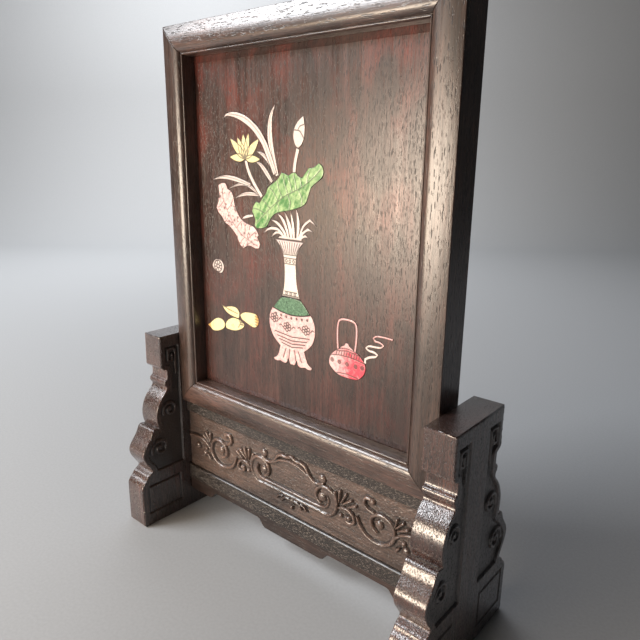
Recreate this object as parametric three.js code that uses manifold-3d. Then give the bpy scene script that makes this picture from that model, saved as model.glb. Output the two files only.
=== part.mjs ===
// A table screen: a moulded rosewood frame round a dark panel that is inlaid with shell,
// standing between two carved feet. The feet are joined by two rails, a carved board and
// an apron. Millimetres, +Z up, front towards -Y, origin under the middle of the stand.
import * as THREE from "three";
import { mergeVertices } from "three/addons/utils/BufferGeometryUtils.js";
import Module from "manifold-3d";

const wasm = await Module();
wasm.setup();

// Frame
const FRAME_WIDTH = 186.5;
const FRAME_HEIGHT = 221.5;
const FRAME_THICKNESS = 16.8;
const MEMBER_WIDTH = 15.9;
const CREST_INSET = 10.4; // from the outer edge to the top of the moulding
const CREST_RISE = 2; // of the moulding above the outer edge
const QUIRK_WIDTH = 1.5; // sunk line between the moulding and its inner bead
const LIP_DROP = 1.05; // of the inner lip below the outer edge
const MITRE_GAP = 0.08; // half of the glue line in each corner
const GROOVE_DEPTH = 4;

// Panel and inlay
const PANEL_THICKNESS = 5;
const PANEL_FRONT_Y = -0.5;
const MARGIN_WIDTH = 3.4; // sloping border of the panel inside the frame
const MARGIN_DROP = 0.6;
const PANEL_PLAY = 0.3; // at the panel's edges, for the wood to move
const GROOVE_PLAY = 0.1; // on each face of the panel
const SHELL_THICKNESS = 1.2;
const SHELL_PROUD = 0.3;
const SHELL_PLAY = 0.12; // glue round each piece of shell
const PICTURE_LEFT_GAP = 3.85; // from the frame to the nearest shell
const PICTURE_RIGHT_GAP = 14.93;
const PICTURE_TOP_GAP = 27.2;
const PICTURE_BOTTOM_GAP = 27.05;

// Stand
const FOOT_DEPTH = 84.4;
const FOOT_THICKNESS = 16.2;
const FOOT_RISE = 44.8; // of the feet above the bottom of the frame
const FOOT_CLEARANCE = 0.4; // from the frame's side to the foot
const RAIL_THICKNESS = 10;
const RAIL_CHAMFER = 0.6;
const UPPER_RAIL_HEIGHT = 9;
const BOARD_HEIGHT = 39; // the carved face that shows between the rails
const LOWER_RAIL_HEIGHT = 10;
const APRON_DROP = 3.2; // below the lower rail, along the shallow stretches
const APRON_LOBE = 5; // extra depth of the lobe and of the two ends
const APRON_GROUND_GAP = 13; // from the ground to the apron's deepest edge
const BOARD_THICKNESS = 6;
const APRON_THICKNESS = 6;
const APRON_SETBACK = 0.4; // behind the rail's front
const TONGUE = 2; // of the board and the apron into the rails
const TENON_LENGTH = 6;
const TENON_THICKNESS = 5;
const TENON_SHOULDER = 2.4;
const JOINT_PLAY = 0.15;
const STILE_TONGUE_LENGTH = 3.5;
const STILE_TONGUE_MARGIN = 6; // from the frame's bottom and the foot's top to the tongue

// Carving
const RELIEF_HEIGHT = 1.9;
const RELIEF_ROOT = 0.5; // how far a ridge or bead is sunk in the board
const CARVING_END_GAP = 1.5; // from the carving's last line to the foot
const CARVING_TOP_GAP = 1.5; // from its highest line to the upper rail
const CARVING_BOTTOM_GAP = 5.3; // from its lowest bead to the lower rail
const FOOT_RECESS = 1.2; // depth of the carved ground in the feet
const POST_HALF = 8.8; // half of the plain band up the middle of a foot
const LINE_WIDTH = 1.6; // of the line cut round the base of a foot

const apronZ = APRON_GROUND_GAP;
const lowerRailZ = apronZ + APRON_LOBE + APRON_DROP;
const boardZ = lowerRailZ + LOWER_RAIL_HEIGHT;
const upperRailZ = boardZ + BOARD_HEIGHT;
const frameZ = upperRailZ + UPPER_RAIL_HEIGHT;
const footHeight = frameZ + FOOT_RISE;
const frameHalf = FRAME_WIDTH / 2;
const footInnerX = frameHalf + FOOT_CLEARANCE;
const railHalfLength = footInnerX - JOINT_PLAY;
const opening = { halfX: frameHalf - MEMBER_WIDTH, halfZ: FRAME_HEIGHT / 2 - MEMBER_WIDTH };
const panelCentreZ = frameZ + FRAME_HEIGHT / 2;
const marginY = PANEL_FRONT_Y + MARGIN_DROP;
const panelBackY = PANEL_FRONT_Y + PANEL_THICKNESS;

const ROSEWOOD = 0x3a2320;
const DARK_ROSEWOOD = 0x2a1b18;
const RAIL_WOOD = 0x33261f;
const WHITE_SHELL = 0xeee6e2;
const PINK_SHELL = 0xe6bdbb;
const GREEN_SHELL = 0x7fae62;
const DEEP_GREEN_SHELL = 0x3f6b45;
const YELLOW_SHELL = 0xecdc96;
const RED_SHELL = 0xdd6c72;

function material(color, roughness) {
  return new THREE.MeshStandardMaterial({ color, roughness, metalness: 0 });
}

// Solids and booleans

function solidOf(geometry) {
  const bare = geometry.index ? geometry.toNonIndexed() : geometry.clone();
  bare.deleteAttribute("normal");
  bare.deleteAttribute("uv");
  const merged = mergeVertices(bare, 1e-4);
  return new wasm.Manifold(
    new wasm.Mesh({
      numProp: 3,
      vertProperties: new Float32Array(merged.attributes.position.array),
      triVerts: new Uint32Array(merged.index.array),
    }),
  );
}

function meshOf(name, solid, finish) {
  const mesh = solid.getMesh();
  const geometry = new THREE.BufferGeometry();
  geometry.setAttribute("position", new THREE.BufferAttribute(mesh.vertProperties, 3));
  geometry.setIndex(new THREE.BufferAttribute(mesh.triVerts, 1));
  const flat = geometry.toNonIndexed();
  flat.computeVertexNormals();
  const made = new THREE.Mesh(flat, finish);
  made.name = name;
  return made;
}

function joined(solids) {
  return solids.reduce((sum, one) => sum.add(one));
}

function largestBody(solid) {
  return solid.decompose().reduce((a, b) => (a.volume() > b.volume() ? a : b));
}

function prism(points, depth) {
  const shape = new THREE.Shape(points.map(([a, b]) => new THREE.Vector2(a, b)));
  return new THREE.ExtrudeGeometry(shape, { depth, bevelEnabled: false, curveSegments: 1 });
}

// A plate whose outline lies in X and Z, from frontY back to backY.
function platePrism(points, frontY, backY) {
  const turn = new THREE.Matrix4().set(1, 0, 0, 0, 0, 0, -1, backY, 0, 1, 0, 0, 0, 0, 0, 1);
  return solidOf(prism(points, backY - frontY).applyMatrix4(turn));
}

// A board whose outline lies in Y and Z, from lowX to highX.
function sidePrism(points, lowX, highX) {
  const turn = new THREE.Matrix4().set(0, 0, 1, lowX, 1, 0, 0, 0, 0, 1, 0, 0, 0, 0, 0, 1);
  return solidOf(prism(points, highX - lowX).applyMatrix4(turn));
}

function block(lowX, highX, lowY, highY, lowZ, highZ) {
  const box = new THREE.BoxGeometry(highX - lowX, highY - lowY, highZ - lowZ);
  box.translate((lowX + highX) / 2, (lowY + highY) / 2, (lowZ + highZ) / 2);
  return solidOf(box);
}

// The same block on the left or on the right of the stand.
function sideBlock(side, nearX, farX, halfY, lowZ, highZ) {
  const ends = [side * nearX, side * farX];
  return block(Math.min(...ends), Math.max(...ends), -halfY, halfY, lowZ, highZ);
}

// A solid from triangles given as rows of nine numbers, whichever way they all face.
function solidFromTriangles(triangles) {
  const build = (rows) => {
    const geometry = new THREE.BufferGeometry();
    const corners = new Float32Array(rows.flat());
    geometry.setAttribute("position", new THREE.BufferAttribute(corners, 3));
    return solidOf(geometry);
  };
  const solid = build(triangles);
  const turnedOver = ([ax, ay, az, bx, by, bz, ...rest]) => [bx, by, bz, ax, ay, az, ...rest];
  return solid.volume() > 0 ? solid : build(triangles.map(turnedOver));
}

// Outlines

function spline(points, steps) {
  const curve = new THREE.SplineCurve(points.map(([a, b]) => new THREE.Vector2(a, b)));
  return Array.from({ length: steps + 1 }, (_, i) => curve.getPoint(i / steps).toArray());
}

function closedSpline(points, steps) {
  const corners = points.map(([a, b]) => new THREE.Vector3(a, b, 0));
  const curve = new THREE.CatmullRomCurve3(corners, true);
  return Array.from({ length: steps }, (_, i) => {
    const { x, y } = curve.getPoint(i / steps);
    return [x, y];
  });
}

function mirrored(points) {
  return points.map(([x, y]) => [-x, y]);
}

// A closed outline from its right side, listed upwards.
function symmetric(rightSide) {
  return [...rightSide, ...mirrored(rightSide).reverse()];
}

function unitNormals(points) {
  return points.map((_, i) => {
    const [ax, ay] = points[Math.max(i - 1, 0)];
    const [bx, by] = points[Math.min(i + 1, points.length - 1)];
    const length = Math.hypot(bx - ax, by - ay);
    return [-(by - ay) / length, (bx - ax) / length];
  });
}

// The outline of a strip along a line, whose half width is halfAt(share of the way).
function strip(points, halfAt) {
  const normals = unitNormals(points);
  const last = points.length - 1;
  const edge = (side) =>
    points.map(([x, y], i) => {
      const half = side * halfAt(i / last);
      return [x + normals[i][0] * half, y + normals[i][1] * half];
    });
  return [...edge(1), ...edge(-1).reverse()];
}

function signedArea(points) {
  return points.reduce((sum, [x, y], i) => {
    const [nx, ny] = points[(i + 1) % points.length];
    return sum + (x * ny - nx * y) / 2;
  }, 0);
}

// The lowest and highest of the points in each of the two directions.
function extentOf(points) {
  const firsts = points.map(([a]) => a);
  const seconds = points.map(([, b]) => b);
  return {
    low: [Math.min(...firsts), Math.min(...seconds)],
    high: [Math.max(...firsts), Math.max(...seconds)],
  };
}

// What moves drawn points so that their extent fills the box from low to high.
function fitted(points, low, high) {
  const drawn = extentOf(points);
  const fit = [0, 1].map((k) => (high[k] - low[k]) / (drawn.high[k] - drawn.low[k]));
  return (point) => point.map((value, k) => low[k] + (value - drawn.low[k]) * fit[k]);
}

// The outline moved outwards by distance, corner by corner.
function grown(points, distance) {
  const turn = signedArea(points) > 0 ? 1 : -1;
  const count = points.length;
  const edgeNormal = (i) => {
    const [ax, ay] = points[i % count];
    const [bx, by] = points[(i + 1) % count];
    const length = Math.hypot(bx - ax, by - ay);
    return [(turn * (by - ay)) / length, (-turn * (bx - ax)) / length];
  };
  const sharpest = 0.35;
  return points.map(([x, y], i) => {
    const [px, py] = edgeNormal(i + count - 1);
    const [nx, ny] = edgeNormal(i);
    const share = distance / Math.max(sharpest, 1 + px * nx + py * ny);
    return [x + (px + nx) * share, y + (py + ny) * share];
  });
}

// Frame

// The moulded section of a member: distance in from its outer edge, and Y.
function memberSection() {
  const outerY = -FRAME_THICKNESS / 2;
  const backY = FRAME_THICKNESS / 2;
  const quirk = MEMBER_WIDTH - QUIRK_WIDTH;
  const sunkY = outerY + 0.9 * LIP_DROP;
  const steps = 6;
  const rise = Array.from({ length: steps }, (_, i) => {
    const t = i / steps;
    return [CREST_INSET * t, outerY - CREST_RISE * Math.sin((Math.PI / 2) * t)];
  });
  const roll = Array.from({ length: steps + 1 }, (_, i) => {
    const angle = (Math.PI / 2) * (i / steps);
    const reach = (quirk - CREST_INSET) * Math.sin(angle);
    return [CREST_INSET + reach, sunkY - (sunkY - outerY + CREST_RISE) * Math.cos(angle)];
  });
  const bead = [
    [quirk + 0.2 * QUIRK_WIDTH, outerY + 0.25 * LIP_DROP],
    [quirk + 0.6 * QUIRK_WIDTH, outerY + 0.1 * LIP_DROP],
    [MEMBER_WIDTH, outerY + LIP_DROP],
  ];
  const grooveEnd = MEMBER_WIDTH - GROOVE_DEPTH;
  const groove = [
    [MEMBER_WIDTH, marginY - GROOVE_PLAY],
    [grooveEnd, marginY - GROOVE_PLAY],
    [grooveEnd, panelBackY + GROOVE_PLAY],
    [MEMBER_WIDTH, panelBackY + GROOVE_PLAY],
  ];
  return [...rise, ...roll, ...bead, ...groove, [MEMBER_WIDTH, backY], [0, backY]];
}

// A mitred member on one side of the frame. Each end of its section is cut back by the
// distance in from the outer edge.
function member(upright, sign) {
  const reach = (upright ? FRAME_WIDTH : FRAME_HEIGHT) / 2;
  const half = (upright ? FRAME_HEIGHT : FRAME_WIDTH) / 2;
  const flat = prism(memberSection(), 1).attributes.position;
  const corner = (i) => {
    const inset = flat.getX(i);
    const along = (flat.getZ(i) > 0.5 ? 1 : -1) * (half - inset - MITRE_GAP);
    const out = sign * (reach - inset);
    const [x, z] = upright ? [out, along] : [along, out];
    return [x, flat.getY(i), panelCentreZ + z];
  };
  const triangles = Array.from({ length: flat.count / 3 }, (_, i) =>
    [3 * i, 3 * i + 1, 3 * i + 2].flatMap(corner),
  );
  return solidFromTriangles(triangles);
}

function stileTongue(side, play) {
  const farX = frameHalf + STILE_TONGUE_LENGTH + play;
  const lowZ = frameZ + STILE_TONGUE_MARGIN - play;
  const highZ = footHeight - STILE_TONGUE_MARGIN + play;
  return sideBlock(side, frameHalf - 1, farX, TENON_THICKNESS / 2 + play, lowZ, highZ);
}

function frameMembers() {
  const wood = material(ROSEWOOD, 0.35);
  const stile = (side) => member(true, side).add(stileTongue(side, 0));
  return [
    meshOf("frame_rail_top", member(false, 1), wood),
    meshOf("frame_rail_bottom", member(false, -1), wood),
    meshOf("frame_stile_left", stile(-1), wood),
    meshOf("frame_stile_right", stile(1), wood),
  ];
}

// Shell inlay. Every figure is a flat outline in X and Z, from the middle of the panel.

const VASE_X = -2.8; // of the vase's axis at its widest
const VASE_LEAN = 0.03;
const VASE_WIDEST_Z = -46;

// Right sides of the vase's pieces about its axis, upwards.
const VASE_NECK = [
  [6.3, -29.8], [5, -25.4], [4.2, -20.5], [4, -12], [4.4, -8], [6.4, -3.6], [8.3, -1.4], [10.1, 0.2],
];
const VASE_COLLAR = [
  [2, -39.4], [8, -38.7], [13.1, -37.2], [12.2, -35.8], [10.6, -34], [8.6, -32], [6.6, -30.2],
];
const VASE_BODY = [
  [1.4, -67.5], [2.3, -66.4], [2.7, -64.8], [3.4, -64.7], [3.9, -66.8], [5.4, -67.8], [7.6, -67.5],
  [9.2, -66.9], [11.4, -67.8], [13.6, -67.4], [14.2, -66.2], [11.6, -65], [10.2, -62.4], [9.3, -59.6],
  [8.8, -58.2], [12.2, -55.8], [15, -52.7], [16.6, -48.8], [17, -45], [16.2, -40.8], [14, -37.5],
  [8, -39.1], [2, -39.8],
];

function leaned(points) {
  return points.map(([x, z]) => [x + VASE_X - VASE_LEAN * (z - VASE_WIDEST_Z), z]);
}

// A leaf of grass from its tip: pointed there, and narrower again at the root.
function blade(line, width, steps) {
  const swell = (t) => (0.1 + 0.9 * Math.sin(Math.PI * (0.1 + 0.7 * t))) * Math.min(1, 0.12 + 3 * t);
  return strip(spline(line, steps), (t) => 0.5 * width * swell(t));
}

function petal(base, tip, width) {
  return strip(spline([base, tip], 3), (t) => width * (0.04 + 0.46 * Math.sin(Math.PI * t ** 0.8)));
}

const GREEN_LEAF = [
  [-31.9, 13.6], [-31, 16.4], [-28.8, 18.9], [-26, 18.3], [-23.6, 21.4], [-21, 23.4], [-20, 26.6],
  [-15.4, 29.2], [-12.2, 31.2], [-9.6, 34.6], [-7, 34], [-4.8, 33.2], [-2.4, 34.6], [0.2, 34.8],
  [2.2, 32.8], [4.6, 32.4], [6.6, 34.6], [9, 37.3], [11.8, 37.2], [15.6, 39.6], [17.8, 38.2],
  [18.8, 35.4], [17.6, 32.6], [12.4, 29.4], [10, 27.2], [8.4, 22.4], [6.8, 19.6], [4, 18], [-3, 15.9],
  [-11, 14.6], [-15.6, 13], [-18.8, 9.4], [-20.6, 6.2], [-24, 4.9], [-28.6, 4.6], [-30.2, 6.2],
  [-29.4, 8.2], [-30.4, 11.2],
];
const PINK_LEAF = [
  [-59.3, 26.2], [-57.6, 27.4], [-54, 27.9], [-52.4, 26.8], [-51.6, 24.6], [-48.2, 23.3], [-47, 21.2],
  [-46.4, 17], [-44.2, 12.2], [-41, 8.4], [-36.6, 6.4], [-31.4, 5.6], [-28.4, 3.2], [-27.1, 0.9],
  [-28.3, -0.2], [-26.1, -4], [-27, -6.2], [-29.6, -6.8], [-33.4, -5.5], [-35.8, -5.4], [-39.4, -7.3],
  [-41.8, -6.2], [-43.6, -3.6], [-45.4, 0], [-51.4, 4.6], [-54.8, 5.6], [-56.4, 8.6], [-60.6, 11.4],
  [-61.5, 14.2], [-59.4, 17.4], [-59.6, 18.8], [-58.5, 19.8],
];
const BUD = [
  [5.4, 61.6], [1.4, 59], [-1, 55.6], [-1.5, 51.6], [0, 47.6], [2.2, 46.6], [4.8, 48.8], [6.3, 53.4],
  [6.1, 58],
];
const LOTUS_BASE = [-36.6, 41];
const LOTUS_PETALS = [
  [[-48.8, 41.8], 4.4], [[-48.2, 51.4], 4.8], [[-42.4, 52], 4.4], [[-37.8, 53.6], 5], [[-33.6, 54.2], 4],
  [[-26, 51], 5], [[-25.2, 40.8], 4.2],
];

// Blades of grass in the bouquet: the name, the line from the tip, and the width.
const BLADES = [
  ["long_blade", [[-53, 62.2], [-49, 64.4], [-36, 61.6], [-24.6, 53], [-18.6, 42.6], [-14.2, 33.6]], 3.9],
  ["upright_blade", [[-13.8, 67.6], [-18, 60], [-17.2, 47], [-12.6, 32.8]], 3.5],
  ["inner_blade", [[-27.6, 44.8], [-22.6, 43.2], [-18, 39.4], [-14.4, 34]], 2.5],
  ["short_blade", [[-28.4, 39.6], [-24, 37.8], [-20, 33.4], [-16.4, 29.6]], 2.6],
  ["left_blade", [[-63.8, 29.2], [-54, 31.2], [-44, 30], [-32.8, 27.4]], 2.6],
  ["lower_left_blade", [[-50.8, 24.6], [-44, 27], [-37.6, 28], [-32.6, 26.4], [-27, 23]], 1.9],
  ["low_blade", [[-45.4, 19.8], [-39, 22.2], [-33, 22.8], [-26.4, 22.4]], 2.1],
  ["twig_blade", [[-40.2, 8.8], [-36.6, 10.4], [-31.2, 11.2]], 1.8],
];
const FLOWER_STEM = [[-36, 40.2], [-34.4, 34.6], [-29.6, 27.6], [-24.2, 21.6]];
const BUD_STEM = [[1.8, 46.2], [0.4, 42], [-0.5, 38], [-0.8, 34.4]];
const STEM_WIDTH = 2.1;

// The spray of short grass at the mouth of the vase is one piece, with a rim below it.
const SPRAY = [
  [[[-23.6, 2.4], [-18.6, 5.8], [-12.4, 5.6], [-7, 1.2]], 1.9],
  [[[-17.8, 0.6], [-14.6, 3.6], [-11, 4], [-7.8, 1.2]], 1.6],
  [[[-17.8, 10.2], [-13, 9], [-8.8, 5.6], [-6, 1.2]], 2],
  [[[-13, 13.8], [-9.4, 11.6], [-6.4, 6.6], [-4.6, 1.2]], 2.1],
  [[[-7.6, 15], [-4.8, 9.6], [-3.4, 5.4], [-2.8, 1.2]], 2.6],
  [[[-3.4, 15.6], [-2, 10], [-1.4, 5.6], [-1, 1.2]], 2],
  [[[0.6, 17.2], [1.9, 12], [2, 7], [1.2, 1.2]], 2.1],
  [[[14.2, 9.2], [10, 11.8], [5.4, 8.8], [2, 1.2]], 1.7],
  [[[12.2, 6], [8.6, 7.2], [5, 4.8], [2.6, 1.2]], 1.6],
  [[[8.8, 2.8], [6, 3.7], [3.2, 1.2]], 1.5],
];
const RIM = [[-12.6, 0.9], [4.8, 0.9], [3.4, 2.1], [-11.2, 2.1]];

const MEDALLION = [
  [-56.6, -20.2], [-57.6, -17.4], [-60, -16.2], [-63.4, -16.1], [-65.6, -17.6], [-67, -20.4],
  [-65.4, -22.6], [-62.6, -23.8], [-59.6, -24.4], [-57.4, -22.8],
];
const CITRON_TIP = [
  [-73.5, -58.2], [-70.2, -56], [-66.6, -53], [-63.4, -52], [-60.2, -52], [-57.8, -53.4], [-57.3, -55.4],
  [-58.2, -57.6], [-61.4, -59.4], [-65, -60.6], [-68.8, -61], [-71, -59.2],
];
const CITRON_MIDDLE = [
  [-57, -55], [-55.4, -52.2], [-52.4, -50.2], [-49, -49.3], [-45.4, -49.6], [-42.4, -50.5], [-40.3, -52],
  [-40.8, -53.8], [-44, -55.8], [-48, -57.2], [-52, -57.6], [-56.2, -57.2],
];
const CITRON_LEAF = [
  [-59.5, -43.4], [-56.6, -44.2], [-52.6, -43], [-48.6, -42.6], [-45.6, -43.6], [-44.3, -45.4],
  [-44.4, -48], [-45.4, -49.2], [-49.4, -48.9], [-53.6, -48], [-57, -46.4],
];
const CITRON_FINGERS = [
  [-43.6, -46.6], [-41.6, -45], [-38, -44], [-33.4, -43.8], [-30, -44], [-28.4, -45.8], [-28.2, -49],
  [-29.6, -51.2], [-32.4, -52.4], [-35.4, -51.6], [-39.4, -50.2], [-42.6, -49],
];

const TEAPOT_BODY = [
  [23.6, -59], [24.2, -56.2], [26, -53.8], [28.8, -51.8], [31.2, -50.6], [35, -50], [39, -50.6],
  [42.6, -51.6], [44.8, -53.6], [46.6, -55.6], [47.3, -58.2], [46.2, -61.4], [44, -63.8], [42, -65.1],
  [37.6, -65.6], [33, -65.5], [29.4, -64.9], [26.4, -63.1], [24.2, -61.2],
];
const TEAPOT_LID = [
  [40, -51], [38.6, -49.4], [36.6, -48.6], [36, -47.2], [34.2, -47.2], [33.6, -48.6], [31.6, -49.4],
  [30.2, -51],
];
const TEAPOT_HANDLE = [
  [29.6, -52.2], [28.9, -45], [29.2, -37.4], [31.6, -35.2], [38.4, -35.2], [40.9, -37.4], [40.9, -45],
  [40, -52],
];
const HANDLE_WIDTH = 1.2;
const STEAM = [
  [46.6, -55.2], [46.8, -52.8], [49.4, -51.2], [52.8, -50.4], [53.8, -49.2], [52, -48.2], [48.6, -48.2],
  [47, -47], [48.2, -45.7], [52, -45.5], [55.8, -45.2], [57.1, -43.8], [55.4, -42.7], [52.2, -42.6],
  [51.1, -41.2], [52.6, -39.9], [56.4, -39.6], [62.4, -39.8],
];
const STEAM_WIDTH = 1.5;

// Name, outlines and finish, in the order in which the pieces were let in: a later piece is
// cut round an earlier one.
function shellFigures() {
  const white = material(WHITE_SHELL, 0.25);
  const pink = material(PINK_SHELL, 0.25);
  const green = material(GREEN_SHELL, 0.3);
  const deepGreen = material(DEEP_GREEN_SHELL, 0.3);
  const yellow = material(YELLOW_SHELL, 0.25);
  const red = material(RED_SHELL, 0.25);
  const stem = (line) => strip(spline(line, 4), () => STEM_WIDTH / 2);
  return [
    ["leaf_green", [GREEN_LEAF], green],
    ["leaf_pink", [PINK_LEAF], pink],
    ["lotus_flower", LOTUS_PETALS.map(([tip, width]) => petal(LOTUS_BASE, tip, width)), yellow],
    ["lotus_bud", [closedSpline(BUD, 11)], white],
    ["vase_neck", [leaned(symmetric(VASE_NECK))], white],
    ["vase_collar", [leaned(symmetric(VASE_COLLAR))], deepGreen],
    ["vase_body", [leaned(symmetric(VASE_BODY))], pink],
    ["grass_spray", [RIM, ...SPRAY.map(([line, width]) => blade(line, width, 3))], white],
    ["flower_stem", [stem(FLOWER_STEM)], white],
    ["bud_stem", [stem(BUD_STEM)], white],
    ...BLADES.map(([name, line, width]) => [name, [blade(line, width, line.length)], white]),
    ["medallion", [MEDALLION], white],
    ["citron_tip", [CITRON_TIP], yellow],
    ["citron_middle", [CITRON_MIDDLE], yellow],
    ["citron_leaf", [CITRON_LEAF], yellow],
    ["citron_fingers", [CITRON_FINGERS], yellow],
    ["teapot_body", [TEAPOT_BODY], red],
    ["teapot_lid", [TEAPOT_LID], pink],
    ["teapot_handle", [strip(spline(TEAPOT_HANDLE, 10), () => HANDLE_WIDTH / 2)], pink],
    ["steam", [strip(STEAM, (t) => STEAM_WIDTH * (0.5 - 0.2 * t))], pink],
  ];
}

function panelBlank() {
  const halfX = opening.halfX + GROOVE_DEPTH - PANEL_PLAY;
  const halfZ = opening.halfZ + GROOVE_DEPTH - PANEL_PLAY;
  const slab = block(-halfX, halfX, marginY, panelBackY, panelCentreZ - halfZ, panelCentreZ + halfZ);
  const field = new THREE.BoxGeometry(2 * opening.halfX, 2 * MARGIN_DROP, 2 * opening.halfZ);
  const place = field.attributes.position;
  for (let i = 0; i < place.count; i += 1) {
    if (place.getY(i) > 0) continue;
    place.setX(i, place.getX(i) - Math.sign(place.getX(i)) * MARGIN_WIDTH);
    place.setZ(i, place.getZ(i) - Math.sign(place.getZ(i)) * MARGIN_WIDTH);
  }
  for (let i = 0; i < place.count; i += 1) place.setY(i, place.getY(i) > 0 ? marginY : PANEL_FRONT_Y);
  field.translate(0, 0, panelCentreZ);
  return slab.add(solidOf(field));
}

function panelWithInlay() {
  const { halfX, halfZ } = opening;
  const figures = shellFigures();
  const place = fitted(
    figures.flatMap(([, outlines]) => outlines.flat()),
    [-halfX + PICTURE_LEFT_GAP, panelCentreZ - halfZ + PICTURE_BOTTOM_GAP],
    [halfX - PICTURE_RIGHT_GAP, panelCentreZ + halfZ - PICTURE_TOP_GAP],
  );
  const faceY = PANEL_FRONT_Y - SHELL_PROUD;
  const seatY = faceY + SHELL_THICKNESS;
  const meshes = [];
  const pockets = [];
  for (const [name, outlines, finish] of figures) {
    const flat = outlines.map((outline) => outline.map(place));
    let piece = joined(flat.map((outline) => platePrism(outline, faceY, seatY)));
    for (const pocket of pockets) piece = piece.subtract(pocket);
    meshes.push(meshOf("inlay_" + name, largestBody(piece), finish));
    const wide = flat.map((outline) => grown(outline, SHELL_PLAY));
    pockets.push(joined(wide.map((outline) => platePrism(outline, faceY - 1, seatY))));
  }
  const panel = panelBlank().subtract(joined(pockets));
  return [meshOf("panel", panel, material(DARK_ROSEWOOD, 0.32)), ...meshes];
}

// Feet. Their outline and carving are drawn once and fitted to the foot's depth and height.

// The edge of a foot in Y and Z, from the top down: a square head, a neck with a bead, two
// swelling scrolls and a base.
const FOOT_EDGE = [
  [22.4, 124], [22.7, 104.2], [21.6, 102.6], [18.5, 101.2],
  [18.4, 95.6], [20.2, 94.8], [20.9, 93.2], [20.5, 91.4], [19.1, 90.2],
  [19.5, 88.2], [23.4, 84.4], [26.2, 80.2], [27.9, 75.4], [28.3, 71], [27.7, 67], [26.7, 64.2],
  [28.6, 65], [30.6, 64.9], [32.3, 63], [33.6, 59.4], [36.8, 55.4], [39.2, 52], [39.8, 48.8],
  [38.6, 45], [35.8, 40.8], [33.3, 36.8],
  [35.2, 35.6], [37.4, 34.2], [38.4, 32.2], [40.4, 30.6], [42, 28], [42.2, 26],
  [42.2, 1.6], [40.8, 0],
];

// The carved ground beside the plain middle band, down from the head.
const FOOT_GROUND = [
  [19.4, 117], [19.4, 104.6], [15.2, 103.4], [15, 91], [19, 87], [23.4, 81], [25.2, 74], [24.4, 68],
  [23.2, 63], [27.6, 60.6], [32.4, 55.6], [36.4, 49.6], [34.6, 44], [30.4, 38.6], [29.6, 35.6],
];

// The line cut round the face of the base, on each side of the middle band.
const BASE_LINE = { innerY: 12.8, outerY: 37, bottomZ: 8.6, topZ: 27.4 };

// What stands in the carved ground: a square curl in the head, and two scrolls by the place
// of their middle and their radius.
const HEAD_CURL = [[11.6, 98], [11.6, 114.6], [17, 114.6], [17, 107.2], [14, 107.2], [14, 111.4]];
const UPPER_SCROLL = [17.4, 75];
const UPPER_SCROLL_RADIUS = 5.6;
const LOWER_SCROLL = [26.4, 50.8];
const LOWER_SCROLL_RADIUS = 6.4;
const SCROLL_EYE = 1.3; // radius at which a scroll ends
const SCROLL_TURNS = 1.2;
const SCROLL_START = -0.35; // angle of its outer end
const STRIP_WIDTH = 1.8;

const drawnFoot = extentOf(FOOT_EDGE);

function footPoint([y, z]) {
  return [(y * FOOT_DEPTH) / (2 * drawnFoot.high[0]), (z * footHeight) / drawnFoot.high[1]];
}

function scroll([y, z], radius) {
  const steps = 7;
  return Array.from({ length: steps + 1 }, (_, i) => {
    const t = i / steps;
    const angle = SCROLL_START + 2 * Math.PI * SCROLL_TURNS * t;
    const reach = radius + (SCROLL_EYE - radius) * t;
    return [y + reach * Math.cos(angle), z + reach * Math.sin(angle)];
  });
}

// What is cut from one face of a foot on one side of its middle band.
function footCarving(mirror, lowX, highX) {
  const placed = (points) => (mirror ? mirrored(points) : points).map(footPoint);
  const solid = (points) => sidePrism(placed(points), lowX, highX);
  const [topY, topZ] = FOOT_GROUND[0];
  const lowZ = FOOT_GROUND[FOOT_GROUND.length - 1][1];
  let ground = solid([[topY, topZ], ...FOOT_GROUND.slice(1), [POST_HALF, lowZ], [POST_HALF, topZ]]);
  const upper = scroll(UPPER_SCROLL, UPPER_SCROLL_RADIUS);
  const lower = scroll(LOWER_SCROLL, LOWER_SCROLL_RADIUS);
  for (const line of [HEAD_CURL, upper, lower]) {
    ground = ground.subtract(solid(strip(line, () => STRIP_WIDTH / 2)));
  }
  const { innerY, outerY, bottomZ, topZ: lineZ } = BASE_LINE;
  const ring = (grow) => [
    [innerY - grow, bottomZ - grow], [outerY + grow, bottomZ - grow],
    [outerY + grow, lineZ + grow], [innerY - grow, lineZ + grow],
  ];
  const line = solid(ring(LINE_WIDTH / 2)).subtract(solid(ring(-LINE_WIDTH / 2)));
  return ground.add(line);
}

function railTenon(side, lowZ, highZ, play) {
  const nearX = railHalfLength - 1;
  const farX = railHalfLength + TENON_LENGTH + play;
  const bottom = lowZ + TENON_SHOULDER - play;
  const top = highZ - TENON_SHOULDER + play;
  return sideBlock(side, nearX, farX, TENON_THICKNESS / 2 + play, bottom, top);
}

function foot(side) {
  const front = mirrored(FOOT_EDGE).map(footPoint);
  const back = FOOT_EDGE.map(footPoint).reverse();
  const faces = [side * footInnerX, side * (footInnerX + FOOT_THICKNESS)].sort((a, b) => a - b);
  let solid = sidePrism([...front, ...back], faces[0], faces[1]);
  for (const mirror of [true, false]) {
    solid = solid.subtract(footCarving(mirror, faces[0] - 1, faces[0] + FOOT_RECESS));
    solid = solid.subtract(footCarving(mirror, faces[1] - FOOT_RECESS, faces[1] + 1));
  }
  return solid
    .subtract(stileTongue(side, JOINT_PLAY))
    .subtract(railTenon(side, upperRailZ, frameZ, JOINT_PLAY))
    .subtract(railTenon(side, lowerRailZ, boardZ, JOINT_PLAY));
}

// Rails, board and apron between the feet

const boardY = { frontY: -BOARD_THICKNESS / 2, backY: BOARD_THICKNESS / 2 };
const apronFrontY = -RAIL_THICKNESS / 2 + APRON_SETBACK;
const apronY = { frontY: apronFrontY, backY: apronFrontY + APRON_THICKNESS };

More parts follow.
